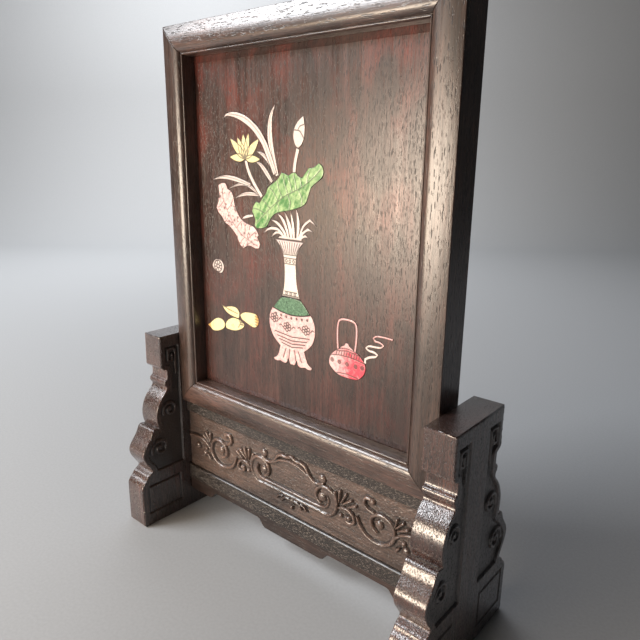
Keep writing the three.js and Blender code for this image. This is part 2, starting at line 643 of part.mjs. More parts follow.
// A rail with eased edges, a tenon at each end and a groove at each height in grooves.
function standRail(lowZ, highZ, grooves) {
  const half = RAIL_THICKNESS / 2;
  const c = RAIL_CHAMFER;
  const section = [
    [-half + c, lowZ], [half - c, lowZ], [half, lowZ + c], [half, highZ - c],
    [half - c, highZ], [-half + c, highZ], [-half, highZ - c], [-half, lowZ + c],
  ];
  let rail = sidePrism(section, -railHalfLength, railHalfLength);
  const depth = TONGUE + JOINT_PLAY;
  for (const { z, frontY, backY } of grooves) {
    const low = frontY - JOINT_PLAY;
    const high = backY + JOINT_PLAY;
    rail = rail.subtract(block(-footInnerX, footInnerX, low, high, z - depth, z + depth));
  }
  for (const side of [-1, 1]) rail = rail.add(railTenon(side, lowZ, highZ, 0));
  return rail;
}

// The apron's lower edge: deep at both ends and in a lobe at the middle.
function apronOutline() {
  const shallow = apronZ + APRON_LOBE;
  const ogee = [[0, 1], [1.6, 0.9], [3.4, 0.48], [4.6, 0.18], [6.4, 0]];
  const step = (x, way) => ogee.map(([run, share]) => [x + way * run, apronZ + share * (shallow - apronZ)]);
  const lobeX = 0.306 * railHalfLength;
  const endX = 0.717 * railHalfLength;
  const right = [...step(lobeX, -1).reverse(), ...step(endX, 1), [railHalfLength, apronZ]];
  const topZ = lowerRailZ + TONGUE;
  return [...mirrored(right).reverse(), ...right, [railHalfLength, topZ], [-railHalfLength, topZ]];
}

// The carving's right half, from the middle of the board: lines with their width and the
// number of steps along them, and beads with their radius.
const BOARD_RIDGES = [
  { line: [[-1, -7.3], [22, -7.3]], steps: 1, width: 2.8, ends: [1, 1] },
  { line: [[-1, -4.1], [21.4, -4.1]], steps: 1, width: 1.9, ends: [1, 1] },
  {
    line: [[20, -7.5], [27, -7.3], [31.4, -4], [33, 1], [31.6, 6], [27.6, 8.6], [22.6, 8.4], [18.8, 5.4]],
    steps: 8, width: 2.5, ends: [0.8, 0.5],
  },
  { line: [[25.4, 6], [27, 1], [25, -3], [20.4, -4]], steps: 4, width: 1.6, ends: [0.4, 0.8] },
  {
    line: [[23.6, 10.6], [20, 8.7], [16.4, 9], [13.4, 11.4], [10.8, 15], [7.6, 16.6], [4, 16.6], [-0.8, 18]],
    steps: 6, width: 2.1, ends: [0.4, 1],
  },
  { line: [[14, 9.8], [10.4, 12.2], [6, 13.8], [-0.8, 14.8]], steps: 3, width: 1.5, ends: [0.3, 1] },
  {
    line: [[34.6, 0.5], [39.8, 1.6], [43.8, -0.2], [45.2, -3.4], [43.4, -5.8], [40.2, -5.2], [40, -2.8]],
    steps: 6, width: 1.8, ends: [0.4, 0.4],
  },
  {
    line: [
      [46.8, 0.6], [49, -4.2], [52.4, -7.6], [57.4, -9.6], [62.4, -9.5], [67, -7.4], [69.8, -3.8],
      [70.4, 0.6], [69, 4.6], [65.4, 7], [60.6, 7], [56.8, 4.8], [55.8, 1.2],
    ],
    steps: 10, width: 2.3, ends: [0.4, 0.5],
  },
  { line: [[58, 6.8], [53, 8], [51.4, 11], [53.6, 13.8], [57, 12.8]], steps: 4, width: 2, ends: [0.4, 0.6] },
  { line: [[70.4, -2], [75, 1.6], [81, 3.6], [92, 2.6]], steps: 4, width: 1.8, ends: [0.4, 0.5] },
  { line: [[2, -9.4], [5.8, -9.8], [7.8, -12.4]], steps: 2, width: 1.9, ends: [0.8, 0.3] },
  { line: [[7, -9.2], [10, -9.9], [11.6, -12]], steps: 2, width: 1.5, ends: [0.8, 0.3] },
];

// Short leaves, each from its root to its tip, and the beads among them.
const BOARD_LEAVES = [
  [[34, 2.6], [31.6, 8.8]], [[35, 4], [35.2, 11.2]], [[36.4, 4.2], [39.6, 10.6]],
  [[37.6, 3.8], [43.4, 8.4]], [[41, 3.2], [46.4, 6.2]],
  [[70.4, 4.4], [71.8, 9.6]], [[71.4, 4.2], [75.6, 9.2]], [[72.2, 3], [78.4, 6.2]],
  [[74, -5.8], [72, -8.2]],
];
const LEAF_WIDTH = 2.2;
const BOARD_BEADS = [
  [22.2, 13.2, 2.6], [22.2, 1.8, 2.8], [61, 1.4, 2.5], [76, -2.6, 1.3], [77.4, -6.2, 2.1], [84.4, -3, 2.2],
];
const MIDDLE_BEADS = [[0, -10, 2.3], [0, -14.2, 1.4]];

// A rounded ridge along a line on the board's face, tapering to both ends.
function ridge(line, { steps, width, ends }) {
  const points = spline(line, steps);
  const normals = unitNormals(points);
  const section = [[-0.5, -RELIEF_ROOT], [0.5, -RELIEF_ROOT], [0.5, 0], [0.27, 1], [-0.27, 1], [-0.5, 0]];
  const rings = points.map(([x, z], i) => {
    const t = i / steps;
    const size = Math.min(1, ends[0] + 5 * t, ends[1] + 5 * (1 - t));
    const height = RELIEF_HEIGHT * (0.55 + 0.45 * size);
    return section.map(([across, up]) => [
      x + normals[i][0] * across * width * size,
      boardY.frontY - (up > 0 ? height : up),
      z + normals[i][1] * across * width * size,
    ]);
  });
  const sides = section.length;
  const triangles = [];
  for (let i = 0; i < steps; i += 1) {
    for (let j = 0; j < sides; j += 1) {
      const k = (j + 1) % sides;
      triangles.push([...rings[i][j], ...rings[i + 1][j], ...rings[i + 1][k]]);
      triangles.push([...rings[i][j], ...rings[i + 1][k], ...rings[i][k]]);
    }
  }
  for (let j = 1; j < sides - 1; j += 1) {
    triangles.push([...rings[0][0], ...rings[0][j], ...rings[0][j + 1]]);
    triangles.push([...rings[steps][0], ...rings[steps][j + 1], ...rings[steps][j]]);
  }
  return solidFromTriangles(triangles);
}

// A low dome on the board's face.
function bead(x, z, radius) {
  const top = RELIEF_HEIGHT;
  const section = [[0, -RELIEF_ROOT], [1.08, -RELIEF_ROOT], [0.6, top], [0, top]];
  const profile = section.map(([share, up]) => new THREE.Vector2(share * radius, up));
  const dome = new THREE.LatheGeometry(profile, 5);
  const turn = new THREE.Matrix4().set(1, 0, 0, x, 0, -1, 0, boardY.frontY, 0, 0, -1, z, 0, 0, 0, 1);
  return solidOf(dome.applyMatrix4(turn));
}

function carvedBoard() {
  const drawn = [...BOARD_RIDGES.flatMap(({ line }) => line), ...BOARD_LEAVES.flat()];
  const centres = [...BOARD_BEADS, ...MIDDLE_BEADS].map(([x, z]) => [x, z]);
  const right = [...drawn, ...centres];
  const halfSpan = railHalfLength - CARVING_END_GAP;
  const placed = fitted(
    [...right, ...mirrored(right)],
    [-halfSpan, boardZ + CARVING_BOTTOM_GAP],
    [halfSpan, upperRailZ - CARVING_TOP_GAP],
  );
  const lowZ = boardZ - TONGUE;
  const highZ = upperRailZ + TONGUE;
  const parts = [block(-railHalfLength, railHalfLength, boardY.frontY, boardY.backY, lowZ, highZ)];
  const leaf = (line) => ({ line, steps: 2, width: LEAF_WIDTH, ends: [0.5, 0.25] });
  for (const side of [-1, 1]) {
    for (const shape of [...BOARD_RIDGES, ...BOARD_LEAVES.map(leaf)]) {
      const line = side < 0 ? mirrored(shape.line) : shape.line;
      parts.push(ridge(line.map(placed), shape));
    }
  }
  const pair = ([x, z, radius]) => [[x, z, radius], [-x, z, radius]];
  for (const [x, z, radius] of [...BOARD_BEADS.flatMap(pair), ...MIDDLE_BEADS]) {
    parts.push(bead(...placed([x, z]), radius));
  }
  return joined(parts);
}

function stand() {
  const wood = material(ROSEWOOD, 0.35);
  const railWood = material(RAIL_WOOD, 0.5);
  const boardGroove = (z) => ({ z, ...boardY });
  const apronGroove = { z: lowerRailZ, ...apronY };
  const upperRail = standRail(upperRailZ, frameZ, [boardGroove(upperRailZ)]);
  const lowerRail = standRail(lowerRailZ, boardZ, [boardGroove(boardZ), apronGroove]);
  return [
    meshOf("foot_left", foot(-1), wood),
    meshOf("foot_right", foot(1), wood),
    meshOf("rail_upper", upperRail, railWood),
    meshOf("carved_board", carvedBoard(), wood),
    meshOf("rail_lower", lowerRail, railWood),
    meshOf("apron", platePrism(apronOutline(), apronY.frontY, apronY.backY), wood),
  ];
}

const screen = new THREE.Group();
screen.add(...frameMembers(), ...panelWithInlay(), ...stand());

export default screen;
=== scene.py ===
"""A rosewood table screen with shell inlay: its finished surfaces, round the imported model."""

import math

import bmesh
import bpy
import numpy as np
from bpy.props import FloatProperty, PointerProperty
from mathutils import Matrix, Vector
from mathutils.geometry import delaunay_2d_cdt


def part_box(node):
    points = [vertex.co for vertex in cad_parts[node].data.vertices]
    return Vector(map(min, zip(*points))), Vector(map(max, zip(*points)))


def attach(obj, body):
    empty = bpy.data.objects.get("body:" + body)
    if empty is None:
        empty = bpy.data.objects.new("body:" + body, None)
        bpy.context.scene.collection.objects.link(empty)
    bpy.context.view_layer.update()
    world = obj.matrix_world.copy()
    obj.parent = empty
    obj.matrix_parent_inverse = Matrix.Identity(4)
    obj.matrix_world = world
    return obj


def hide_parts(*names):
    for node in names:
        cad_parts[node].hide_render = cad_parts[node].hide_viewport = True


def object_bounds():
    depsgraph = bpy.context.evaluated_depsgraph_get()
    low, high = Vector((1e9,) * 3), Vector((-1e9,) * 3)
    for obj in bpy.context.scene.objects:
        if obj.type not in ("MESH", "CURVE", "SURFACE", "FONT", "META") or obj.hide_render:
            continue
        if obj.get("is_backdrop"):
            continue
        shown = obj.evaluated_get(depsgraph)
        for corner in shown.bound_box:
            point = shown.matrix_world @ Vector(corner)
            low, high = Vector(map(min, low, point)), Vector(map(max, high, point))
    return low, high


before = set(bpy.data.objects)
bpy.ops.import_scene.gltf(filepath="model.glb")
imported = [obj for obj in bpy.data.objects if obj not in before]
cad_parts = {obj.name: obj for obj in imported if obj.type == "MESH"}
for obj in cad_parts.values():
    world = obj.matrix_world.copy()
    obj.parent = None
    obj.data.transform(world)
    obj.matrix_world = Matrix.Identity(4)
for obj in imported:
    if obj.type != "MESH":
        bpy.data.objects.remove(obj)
cad_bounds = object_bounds()

bl_info = {
    "name": "Table screen",
    "version": (1, 0, 0),
    "blender": (4, 5, 0),
    "location": "3D View > Sidebar > Table screen",
    "description": "Finishes the surfaces of a shell-inlaid rosewood table screen",
    "category": "Object",
}

MM = 0.001

# Carving of the board, in millimetres from the middle of its face. Each line has its width and
# how full its two ends are. The other half is its mirror image.
BOARD_LINES = [
    ([(-1, -7.3), (22, -7.3)], 2.8, (1, 1)),
    ([(-1, -4.1), (21.4, -4.1)], 1.9, (1, 1)),
    ([(20, -7.5), (27, -7.3), (31.4, -4), (33, 1), (31.6, 6), (27.6, 8.6), (22.6, 8.4), (19.4, 6),
      (18.4, 2.8), (19.6, -0.2), (22, -1.6)], 2.5, (0.8, 0.5)),
    ([(27.2, 4.4), (28, 1), (25.6, -3), (20.4, -4)], 1.7, (0.4, 0.8)),
    ([(23.6, 10.6), (20, 8.9), (16.4, 9.2), (13.4, 11.4), (10.8, 15), (7.6, 16.6), (4, 16.6), (-0.8, 18)],
     2.3, (0.8, 1)),
    ([(14, 9.8), (10.4, 12.2), (6, 13.8), (-0.8, 14.8)], 1.6, (0.5, 1)),
    ([(34.6, 0.5), (39.8, 1.6), (43.8, -0.2), (45.2, -3.4), (43.4, -5.8), (40.2, -5.2), (40, -2.8)],
     2.2, (0.5, 0.8)),
    ([(46.8, 0.6), (49, -4.2), (52.4, -7.6), (57.4, -9.6), (62.4, -9.5), (67, -7.4), (69.8, -3.8),
      (70.4, 0.6), (69, 4.6), (65.4, 7), (60.6, 7), (56.8, 4.8), (55.8, 1.2), (57.2, -1.8), (60, -3.2)],
     2.5, (0.5, 0.5)),
    ([(58, 6.8), (53.6, 7.8), (51.2, 10.6), (52.4, 13.6), (55.4, 13.8)], 2.3, (0.6, 0.9)),
    ([(70.4, -2), (75, 1.6), (81, 3.6), (92, 2.6)], 2, (0.5, 0.6)),
    ([(2, -9.4), (5.8, -9.8), (7.8, -12.4)], 2, (0.8, 0.5)),
    ([(7, -9.2), (10, -9.9), (11.6, -12)], 1.7, (0.8, 0.5)),
]
# The scroll frame is one broad hollow band between its outer rim and its inner bead.
SCROLL_BAND = [(-1, -5.7), (21, -5.8), (26.2, -5.2), (29.2, -1.9), (30, 2.4), (27.8, 5.8), (24, 6)]
SCROLL_BAND_WIDTH = 5
SCROLL_BAND_HEIGHT = 1.0
BOARD_LEAVES = [
    [(34, 2.6), (31.8, 8.2)], [(35, 4), (35.2, 10.4)], [(36.4, 4.2), (39.2, 9.8)],
    [(37.6, 3.8), (42.8, 7.8)], [(41, 3.2), (45.8, 5.8)],
    [(70.8, 4.6), (71.6, 9)], [(71.4, 4.2), (75.2, 8.6)], [(72.2, 3), (77.8, 6)],
    [(74, -5.8), (72, -8.2)],
]
LEAF_WIDTH = 2.3
BOARD_KNOBS = [
    (22.6, 12.8, 2.7), (22.6, 2, 2.9), (61, 1.4, 2.6), (76, -2.6, 1.4), (77.4, -6.2, 2.2), (84.4, -3, 2.3),
    (56.2, 12.8, 1.9), (41.4, -3.4, 1.5), (36, -3.6, 1.4),
]
MIDDLE_KNOBS = [(0, -10, 2.3), (0, -14.2, 1.4)]
RELIEF_HEIGHT = 1.9
BOARD_GRID = 0.3
# Marks that the gouge leaves in the ground: height, size in X and in Z, and seed.
GOUGE_MARKS = ((0.24, 0.8, 0.7, 3), (0.12, 3.1, 1.6, 4))
GOUGE_MIDDLE = 0.14
# The carving's map of wear and painted light: how often its height is blurred, and how strongly ridges are
# lit as a painted sheen and hollows darkened as painted shade.
WEAR_AND_SHADE_REACH = 9
WEAR_AND_SHADE_CONTRAST = 1.3

# Feet, in millimetres: Y and Z of the front edge from the top down, and the carved ground.
FOOT_EDGE = [
    (22.4, 124), (22.7, 104.2), (21.6, 102.6), (18.5, 101.2),
    (18.4, 95.6), (20.2, 94.8), (20.9, 93.2), (20.5, 91.4), (19.1, 90.2),
    (19.5, 88.2), (23.4, 84.4), (26.2, 80.2), (27.9, 75.4), (28.3, 71), (27.7, 67), (26.7, 64.2),
    (28.6, 65), (30.6, 64.9), (32.3, 63), (33.6, 59.4), (36.8, 55.4), (39.2, 52), (39.8, 48.8),
    (38.6, 45), (35.8, 40.8), (33.3, 36.8),
    (35.2, 35.6), (37.4, 34.2), (38.4, 32.2), (40.4, 30.6), (42, 28), (42.2, 26),
    (42.2, 1.6), (40.8, 0),
]
FOOT_CORNERS = [0, 1, 3, 32]
FOOT_GROUND = [
    (19.4, 117), (19.4, 104.6), (15.2, 103.4), (15, 91), (19, 87), (23.4, 81), (25.2, 74), (24.4, 68),
    (23.2, 63), (27.6, 60.6), (32.4, 55.6), (36.4, 49.6), (34.6, 44), (30.4, 38.6), (29.6, 35.6),
]
FOOT_CURL = [(11.6, 98), (11.6, 114.6), (17, 114.6), (17, 107.2), (14, 107.2), (14, 111.4)]
CURL_HALF = 0.9
# Middle in Y and Z, outer and inner radius, and the angle at which the scroll starts.
FOOT_VOLUTES = [(17.4, 75, 5.6, 1.2, -0.4), (26.4, 50.8, 6.4, 1.4, -0.3)]
VOLUTE_TURNS = 1.35
VOLUTE_EYE = 1.5
# The groove round the base's side: its middle in Y and Z, and half its width and height.
BASE_GROOVE = (24.9, 18, 12.1, 9.4)
GROOVE_WIDTH = 1.6
POST_HALF = 8.8
FOOT_RECESS = 1.2
FOOT_ROUNDING = 0.5
FOOT_GRID = 0.55
# Unevenness of the scraped faces: height, size in Y and in Z, and seed.
FOOT_UNEVEN = (0.12, 2.2, 2.9, 5)
FOOT_SHIFT = 60
# How far in from a foot's edge the carving starts and is at its full depth.
FOOT_BORDER = (0.6, 2.2)


# Colours and nodes

def linear(hex_colour):
    """An sRGB hex colour as linear RGBA."""
    parts = [int(hex_colour[i:i + 2], 16) / 255 for i in (1, 3, 5)]
    return tuple(c / 12.92 if c <= 0.04045 else ((c + 0.055) / 1.055) ** 2.4 for c in parts) + (1.0,)


def add_node(tree, kind, inputs=None, **settings):
    """Adds a node. An input takes an output, a node's first output or a constant. A setting is
    an attribute of the node, or the constant of the input with that name."""
    made = tree.nodes.new("ShaderNode" + kind)
    for key, value in settings.items():
        if hasattr(made, key):
            setattr(made, key, value)
        else:
            made.inputs[key.replace("_", " ")].default_value = value
    for key, source in (inputs or {}).items():
        if isinstance(source, (int, float, tuple)):
            made.inputs[key].default_value = source
        else:
            tree.links.new(source.outputs[0] if hasattr(source, "outputs") else source, made.inputs[key])
    return made


def new_material(name):
    made = bpy.data.materials.new(name)
    made.use_nodes = True
    made.node_tree.nodes.clear()
    return made, made.node_tree


def close_material(tree, shader):
    add_node(tree, "OutputMaterial", {"Surface": shader})


def millimetres(tree):
    """Object coordinates in millimetres."""
    place = add_node(tree, "TexCoord")
    return add_node(tree, "VectorMath", {0: place.outputs["Object"]}, operation="SCALE", Scale=1000.0)


def ramp(tree, source, stops):
    """A colour ramp over source, with (place, hex colour) stops."""
    made = add_node(tree, "ValToRGB", {"Fac": source})
    band = made.color_ramp
    while len(band.elements) < len(stops):
        band.elements.new(1.0)
    for element, (at, colour) in zip(band.elements, stops):
        element.position = at
        element.color = linear(colour)
    return made


def spread(tree, source, low, high, to_low=0.0, to_high=1.0):
    """Maps low..high of source to to_low..to_high, clamped."""
    return add_node(
        tree, "MapRange", {"Value": source}, From_Min=low, From_Max=high, To_Min=to_low, To_Max=to_high)


def noise(tree, place, scale=1.0, detail=3.0, **settings):
    return add_node(tree, "TexNoise", {"Vector": place}, Scale=scale, Detail=detail, **settings)


def work_out(tree, operation, *values):
    return add_node(tree, "Math", dict(enumerate(values)), operation=operation)


def scaled(tree, colour, factor):
    """A colour made lighter or darker by a factor."""
    return add_node(tree, "VectorMath", {0: colour, "Scale": factor}, operation="SCALE")


def attribute(tree, name):
    return add_node(tree, "Attribute", attribute_name=name).outputs["Fac"]


def blend(tree, share, base, colour):
    """A colour that goes over to a plain hex colour by a share."""
    mixed = add_node(tree, "Mix", {"Factor": share, "A": base, "B": linear(colour)}, data_type="RGBA")
    return mixed.outputs["Result"]


# Wood

GRAIN_AXES = {"X": 0, "Z": 2}
RED_CLOUDS = "#6a3028"
RED_HEIGHTS = (110, 200)
PORE_DENT = 0.00007


def rosewood(name, grain, dark, middle, red, roughness, worn_and_shaded=False, pore="#140c0a", pore_size=1.0,
             pore_length=7.0, pore_depth=1.0, openness=0.27, patches=0.0, coat=0.45):
    """Lacquered rosewood. Its grain runs along one axis: broad dark and reddish figure, fine
    fibres, and the open pores, 2 to 3 mm long, that show as fine dashes under the satin
    lacquer. Worn wood is bright on ridges, for wear with a painted sheen, and dark in hollows,
    as painted shade, by an attribute of wear and shade. pore is the colour in the pores,
    pore_length how many times longer than wide they are, pore_depth how much they dent the
    lacquer and openness how far they gape. patches is the strength of the red clouds, mostly
    high on the panel, and coat that of the lacquer."""
    made, tree = new_material(name)
    place = millimetres(tree)

    def stretched(across_mm, along_mm):
        """The place, drawn out along the grain."""
        scale = [1 / across_mm] * 3
        scale[GRAIN_AXES[grain]] = 1 / along_mm
        return add_node(tree, "VectorMath", {0: place, 1: tuple(scale)}, operation="MULTIPLY")

    def pore_marks(across, along, gape, strength):
        """Strength in each pore, and 0 between them."""
        drawn_out = stretched(across * pore_size, along * pore_length * pore_size)
        cells = add_node(tree, "TexVoronoi", {"Vector": drawn_out}, Scale=1.0)
        return spread(tree, cells.outputs["Distance"], gape - 0.11, gape, strength, 0.0)

    figure = noise(tree, stretched(30, 60), detail=4.0, Distortion=0.8)
    bands = noise(tree, stretched(2.6, 80), detail=4.0, Roughness=0.6)
    fibres = noise(tree, stretched(0.6, 9))
    pores = work_out(
        tree, "MAXIMUM", pore_marks(0.95, 1.0, openness, 1.0), pore_marks(0.6, 0.5, openness - 0.02, 0.6))
    tone = work_out(tree, "MULTIPLY_ADD", bands, 0.45, figure)
    colour = ramp(tree, spread(tree, tone, 0.55, 0.9), [(0.0, dark), (0.6, middle), (1.0, red)])
    if patches:
        clouds = spread(tree, noise(tree, stretched(22, 40), Distortion=0.6), 0.48, 0.7)
        height = add_node(tree, "SeparateXYZ", {0: place}).outputs["Z"]
        share = spread(tree, height, *RED_HEIGHTS, 0.3 * patches, patches)
        colour = blend(tree, work_out(tree, "MULTIPLY", clouds, share), colour, RED_CLOUDS)
    colour = scaled(tree, colour, spread(tree, fibres, 0.32, 0.68, 0.5, 1.5))
    colour = blend(tree, pores, colour, pore)
    gloss = spread(tree, bands, 0.3, 0.7, roughness - 0.05, roughness + 0.07)
    if worn_and_shaded:
        # Painted light and wear: the attribute lightens ridges, as wear with a painted sheen, and darkens
        # hollows as painted shade.
        rubbed_and_shaded = attribute(tree, "wear")
        colour = scaled(tree, colour, spread(tree, rubbed_and_shaded, 0.0, 1.0, 0.25, 1.75))
        gloss = work_out(tree, "ADD", gloss, spread(tree, rubbed_and_shaded, 0.3, 1.0, 0.12, -0.1))
    gloss = work_out(tree, "ADD", gloss, spread(tree, fibres, 0.3, 0.7, 0.05, -0.05))
    gloss = work_out(tree, "MULTIPLY_ADD", pores, 0.25, gloss)
    relief = work_out(tree, "MULTIPLY_ADD", pores, -2.5, fibres)
    bump = add_node(tree, "Bump", {"Height": relief}, Strength=0.5, Distance=PORE_DENT * pore_depth)
    shader = add_node(
        tree, "BsdfPrincipled",
        {"Base Color": colour, "Roughness": gloss, "Normal": bump, "Coat Normal": bump},
        IOR=1.52, Coat_Weight=coat, Coat_Roughness=0.25, Coat_IOR=1.5,
    )
    close_material(tree, shader)
    return made


# Shell and paper

INK = "#2e1d1b"


def shell(name, base, second, speck, grain_mm=2.5, speckle=0.25):
    """Polished shell: a pale ground clouded with a second tint, small specks and growth lines.
    The attribute tint leans the colour to the second tint, and ink is 1 where an engraved
    line is filled with dark pigment, which is matt."""
    made, tree = new_material(name)
    place = millimetres(tree)
    clouds = noise(tree, place, 1 / grain_mm, Distortion=1.0)
    lines = noise(tree, place, 0.9, Distortion=2.5)
    specks = noise(tree, place, 1.3, 2.0)
    ink = attribute(tree, "ink")
    leaned = work_out(tree, "ADD", clouds, attribute(tree, "tint"))
    colour = ramp(tree, spread(tree, leaned, 0.75, 1.25), [(0.0, base), (1.0, second)])
    colour = scaled(tree, colour, spread(tree, lines, 0.3, 0.7, 0.84, 1.08))
    colour = blend(tree, spread(tree, specks, 0.58, 0.66, 0.0, speckle), colour, speck)
    colour = blend(tree, ink, colour, INK)
    bump = add_node(tree, "Bump", {"Height": lines}, Strength=0.25, Distance=0.00004)
    rough = spread(tree, ink, 0.0, 1.0, 0.24, 0.6)
    shader = add_node(
        tree, "BsdfPrincipled", {"Base Color": colour, "Normal": bump, "Roughness": rough},
        IOR=1.53, Coat_Weight=0.2, Coat_Roughness=0.12,
    )
    close_material(tree, shader)
    return made


def studio_paper(name, colour):
    """Matt backdrop paper, pale and faintly mottled."""
    made, tree = new_material(name)
    tone = spread(tree, noise(tree, millimetres(tree), 0.6), 0.3, 0.7, 0.96, 1.04)
    paper = add_node(tree, "RGB")
    paper.outputs[0].default_value = linear(colour)
    close_material(
        tree, add_node(tree, "BsdfPrincipled", {"Base Color": scaled(tree, paper, tone)}, Roughness=0.9))
    return made


# Each finish: for wood the grain, its three tones and its roughness, for shell its two tints,
# the specks, the size of its clouds in mm and how strongly it is specked.
WOODS = {
    "panel rosewood": ("Z", "#281a17", "#372520", "#442c26", 0.3, {
        "pore": "#0e0807", "pore_size": 0.7, "pore_depth": 0.5, "openness": 0.3, "coat": 0.2,
        "patches": 0.6}),
    "upright rosewood": ("Z", "#2d211c", "#41322c", "#513b33", 0.3, {}),
    "level rosewood": ("X", "#30241f", "#473731", "#574038", 0.3, {"coat": 0.6}),
    "rail rosewood": ("X", "#110d0b", "#1c1614", "#261f1b", 0.36, {
        "pore": "#877b72", "pore_size": 0.34, "coat": 0.3}),
    "apron rosewood": ("X", "#1c1310", "#2b1f1b", "#382822", 0.34, {"coat": 0.3}),
    # The carved board and the feet take worn, sheen-lit ridges and painted shade in their hollows from an
    # attribute.
    "carved rosewood": ("X", "#2c211c", "#4c3d36", "#5a473d", 0.29, {
        "worn_and_shaded": True, "pore_size": 0.7, "pore_depth": 2.0, "coat": 0.6}),
    "foot rosewood": ("Z", "#261714", "#372621", "#48302a", 0.21, {
        "worn_and_shaded": True, "pore": "#0c0605", "pore_size": 0.9, "pore_length": 1.9, "pore_depth": 2.8,
        "openness": 0.36, "coat": 1.0}),
}
SHELLS = {
    "white shell": ("#dbd0c4", "#cfbcb8", "#9c8682"),
    "pink shell": ("#e4d0c8", "#d6a4a2", "#875550"),
    "green shell": ("#9fba84", "#467c43", "#2a5b34", 3.0, 0.45),
    "deep green shell": ("#6c9070", "#1c4228", "#132c1a", 1.0, 0.8),
    "yellow shell": ("#e6d8a2", "#cf9c4c", "#a8843f", 4.0, 0.15),
    "red shell": ("#e4b9b6", "#cb4856", "#a82f3e", 3.0, 0.25),
}
PAPER = "#a4a5a6"


def material(name):
    """The named finish, made the first time that a piece asks for it."""
    if name in bpy.data.materials:
        return bpy.data.materials[name]
    if name in WOODS:
        *tones, extras = WOODS[name]
        return rosewood(name, *tones, **extras)
    if name in SHELLS:
        return shell(name, *SHELLS[name])
    return studio_paper(name, PAPER)


# Modelling helpers

def deselect_all():
    if bpy.context.object and bpy.context.object.mode != "OBJECT":
        bpy.ops.object.mode_set(mode="OBJECT")
    bpy.ops.object.select_all(action="DESELECT")


def make_active(piece):
    deselect_all()
    piece.select_set(True)
    bpy.context.view_layer.objects.active = piece


def apply_modifier(piece, kind, **settings):
    make_active(piece)
    modifier = piece.modifiers.new(kind.lower(), kind)
    for key, value in settings.items():
        setattr(modifier, key, value)
    bpy.ops.object.modifier_apply(modifier=modifier.name)


def smooth(piece, degrees):
    """Shades curved faces smooth. Broad flat faces keep their own direction up to their edges."""
    make_active(piece)
    bpy.ops.object.shade_smooth_by_angle(angle=math.radians(degrees))
    apply_modifier(piece, "WEIGHTED_NORMAL", keep_sharp=True)


def finish_piece(piece, material_name, slot, *nodes):
    """Gives a piece its finish and its place on the body; slot is not used."""
    piece.data.materials.clear()
    piece.data.materials.append(material(material_name))
    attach(piece, "root")
    if nodes:
        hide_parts(*nodes)


def add_object(name, data):
    made = bpy.data.objects.new(name, data)
    bpy.context.scene.collection.objects.link(made)
    return made


def new_piece(name, points, polygons):
    """A piece from places in millimetres and their faces."""
    mesh = bpy.data.meshes.new(name)
    mesh.from_pydata((points * MM).tolist(), [], polygons)
    return add_object(name, mesh)


def face_outwards(piece):
    """Drops what belongs to no face and turns all faces outwards."""
    make_active(piece)
    bpy.ops.object.mode_set(mode="EDIT")
    bpy.ops.mesh.select_all(action="SELECT")
    bpy.ops.mesh.delete_loose()
    bpy.ops.mesh.select_all(action="SELECT")
    bpy.ops.mesh.normals_make_consistent(inside=False)
    bpy.ops.object.mode_set(mode="OBJECT")


def merged_copy(node, name):
    """A copy of a CAD node whose loose triangles are joined into clean flat faces."""
    piece = add_object(name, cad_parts[node].data.copy())
    make_active(piece)
    bpy.ops.object.mode_set(mode="EDIT")
    bpy.ops.mesh.select_all(action="SELECT")
    bpy.ops.mesh.remove_doubles(threshold=2e-6)
    bpy.ops.mesh.dissolve_limited(angle_limit=math.radians(0.5))
    bpy.ops.object.mode_set(mode="OBJECT")
    return piece


def eased_copy(node, name, width, segments=3, above_degrees=35, smooth_degrees=30):
    """A merged copy with its sharp edges rounded, as a plane and sandpaper leave them."""
    piece = merged_copy(node, name)
    apply_modifier(
        piece, "BEVEL", width=width, segments=segments, limit_method="ANGLE",
        angle_limit=math.radians(above_degrees), use_clamp_overlap=True,
    )
    smooth(piece, smooth_degrees)
    return piece


def spline(points, steps):
    """A Catmull-Rom curve through points, at steps + 1 places."""
    ends = [points[0], *points, points[-1]]
    curve = []
    for i in range(steps + 1):
        at = i / steps * (len(points) - 1)
        k = min(int(at), len(points) - 2)
        t = at - k
        p = [np.array(ends[k + j], float) for j in range(4)]
        curve.append(0.5 * (2 * p[1] + (p[2] - p[0]) * t + (2 * p[0] - 5 * p[1] + 4 * p[2] - p[3]) * t**2
                            + (3 * p[1] - p[0] - 3 * p[2] + p[3]) * t**3))
    return np.array(curve)


def value_noise(u, v, seed):
    """Smooth random heights in 0..1 over a unit grid."""
    table = np.random.default_rng(seed).random((256, 256))
    iu, iv = np.floor(u).astype(int), np.floor(v).astype(int)
    fu, fv = u - iu, v - iv
    fu, fv = fu * fu * (3 - 2 * fu), fv * fv * (3 - 2 * fv)
    corner = lambda a, b: table[(iu + a) % 256, (iv + b) % 256]
    low = corner(0, 0) * (1 - fu) + corner(1, 0) * fu
    high = corner(0, 1) * (1 - fu) + corner(1, 1) * fu
    return low * (1 - fv) + high * fv


def segment_distance(u, v, a, b):
    """Distance of each point from the segment a to b, and the share of the way along it."""
    run = b - a
    t = np.clip(((u - a[0]) * run[0] + (v - a[1]) * run[1]) / max(run @ run, 1e-9), 0, 1)
    return np.hypot(u - a[0] - t * run[0], v - a[1] - t * run[1]), t


def uneven(u, v, u_size, v_size, seed, shift=0):
    """Value noise whose humps measure u_size by v_size."""
    return value_noise(u / u_size + shift, v / v_size + shift, seed)


def step_up(value, low, high):
    """A smooth step from 0 at low to 1 at high."""
    t = np.clip((value - low) / (high - low), 0, 1)
    return t * t * (3 - 2 * t)


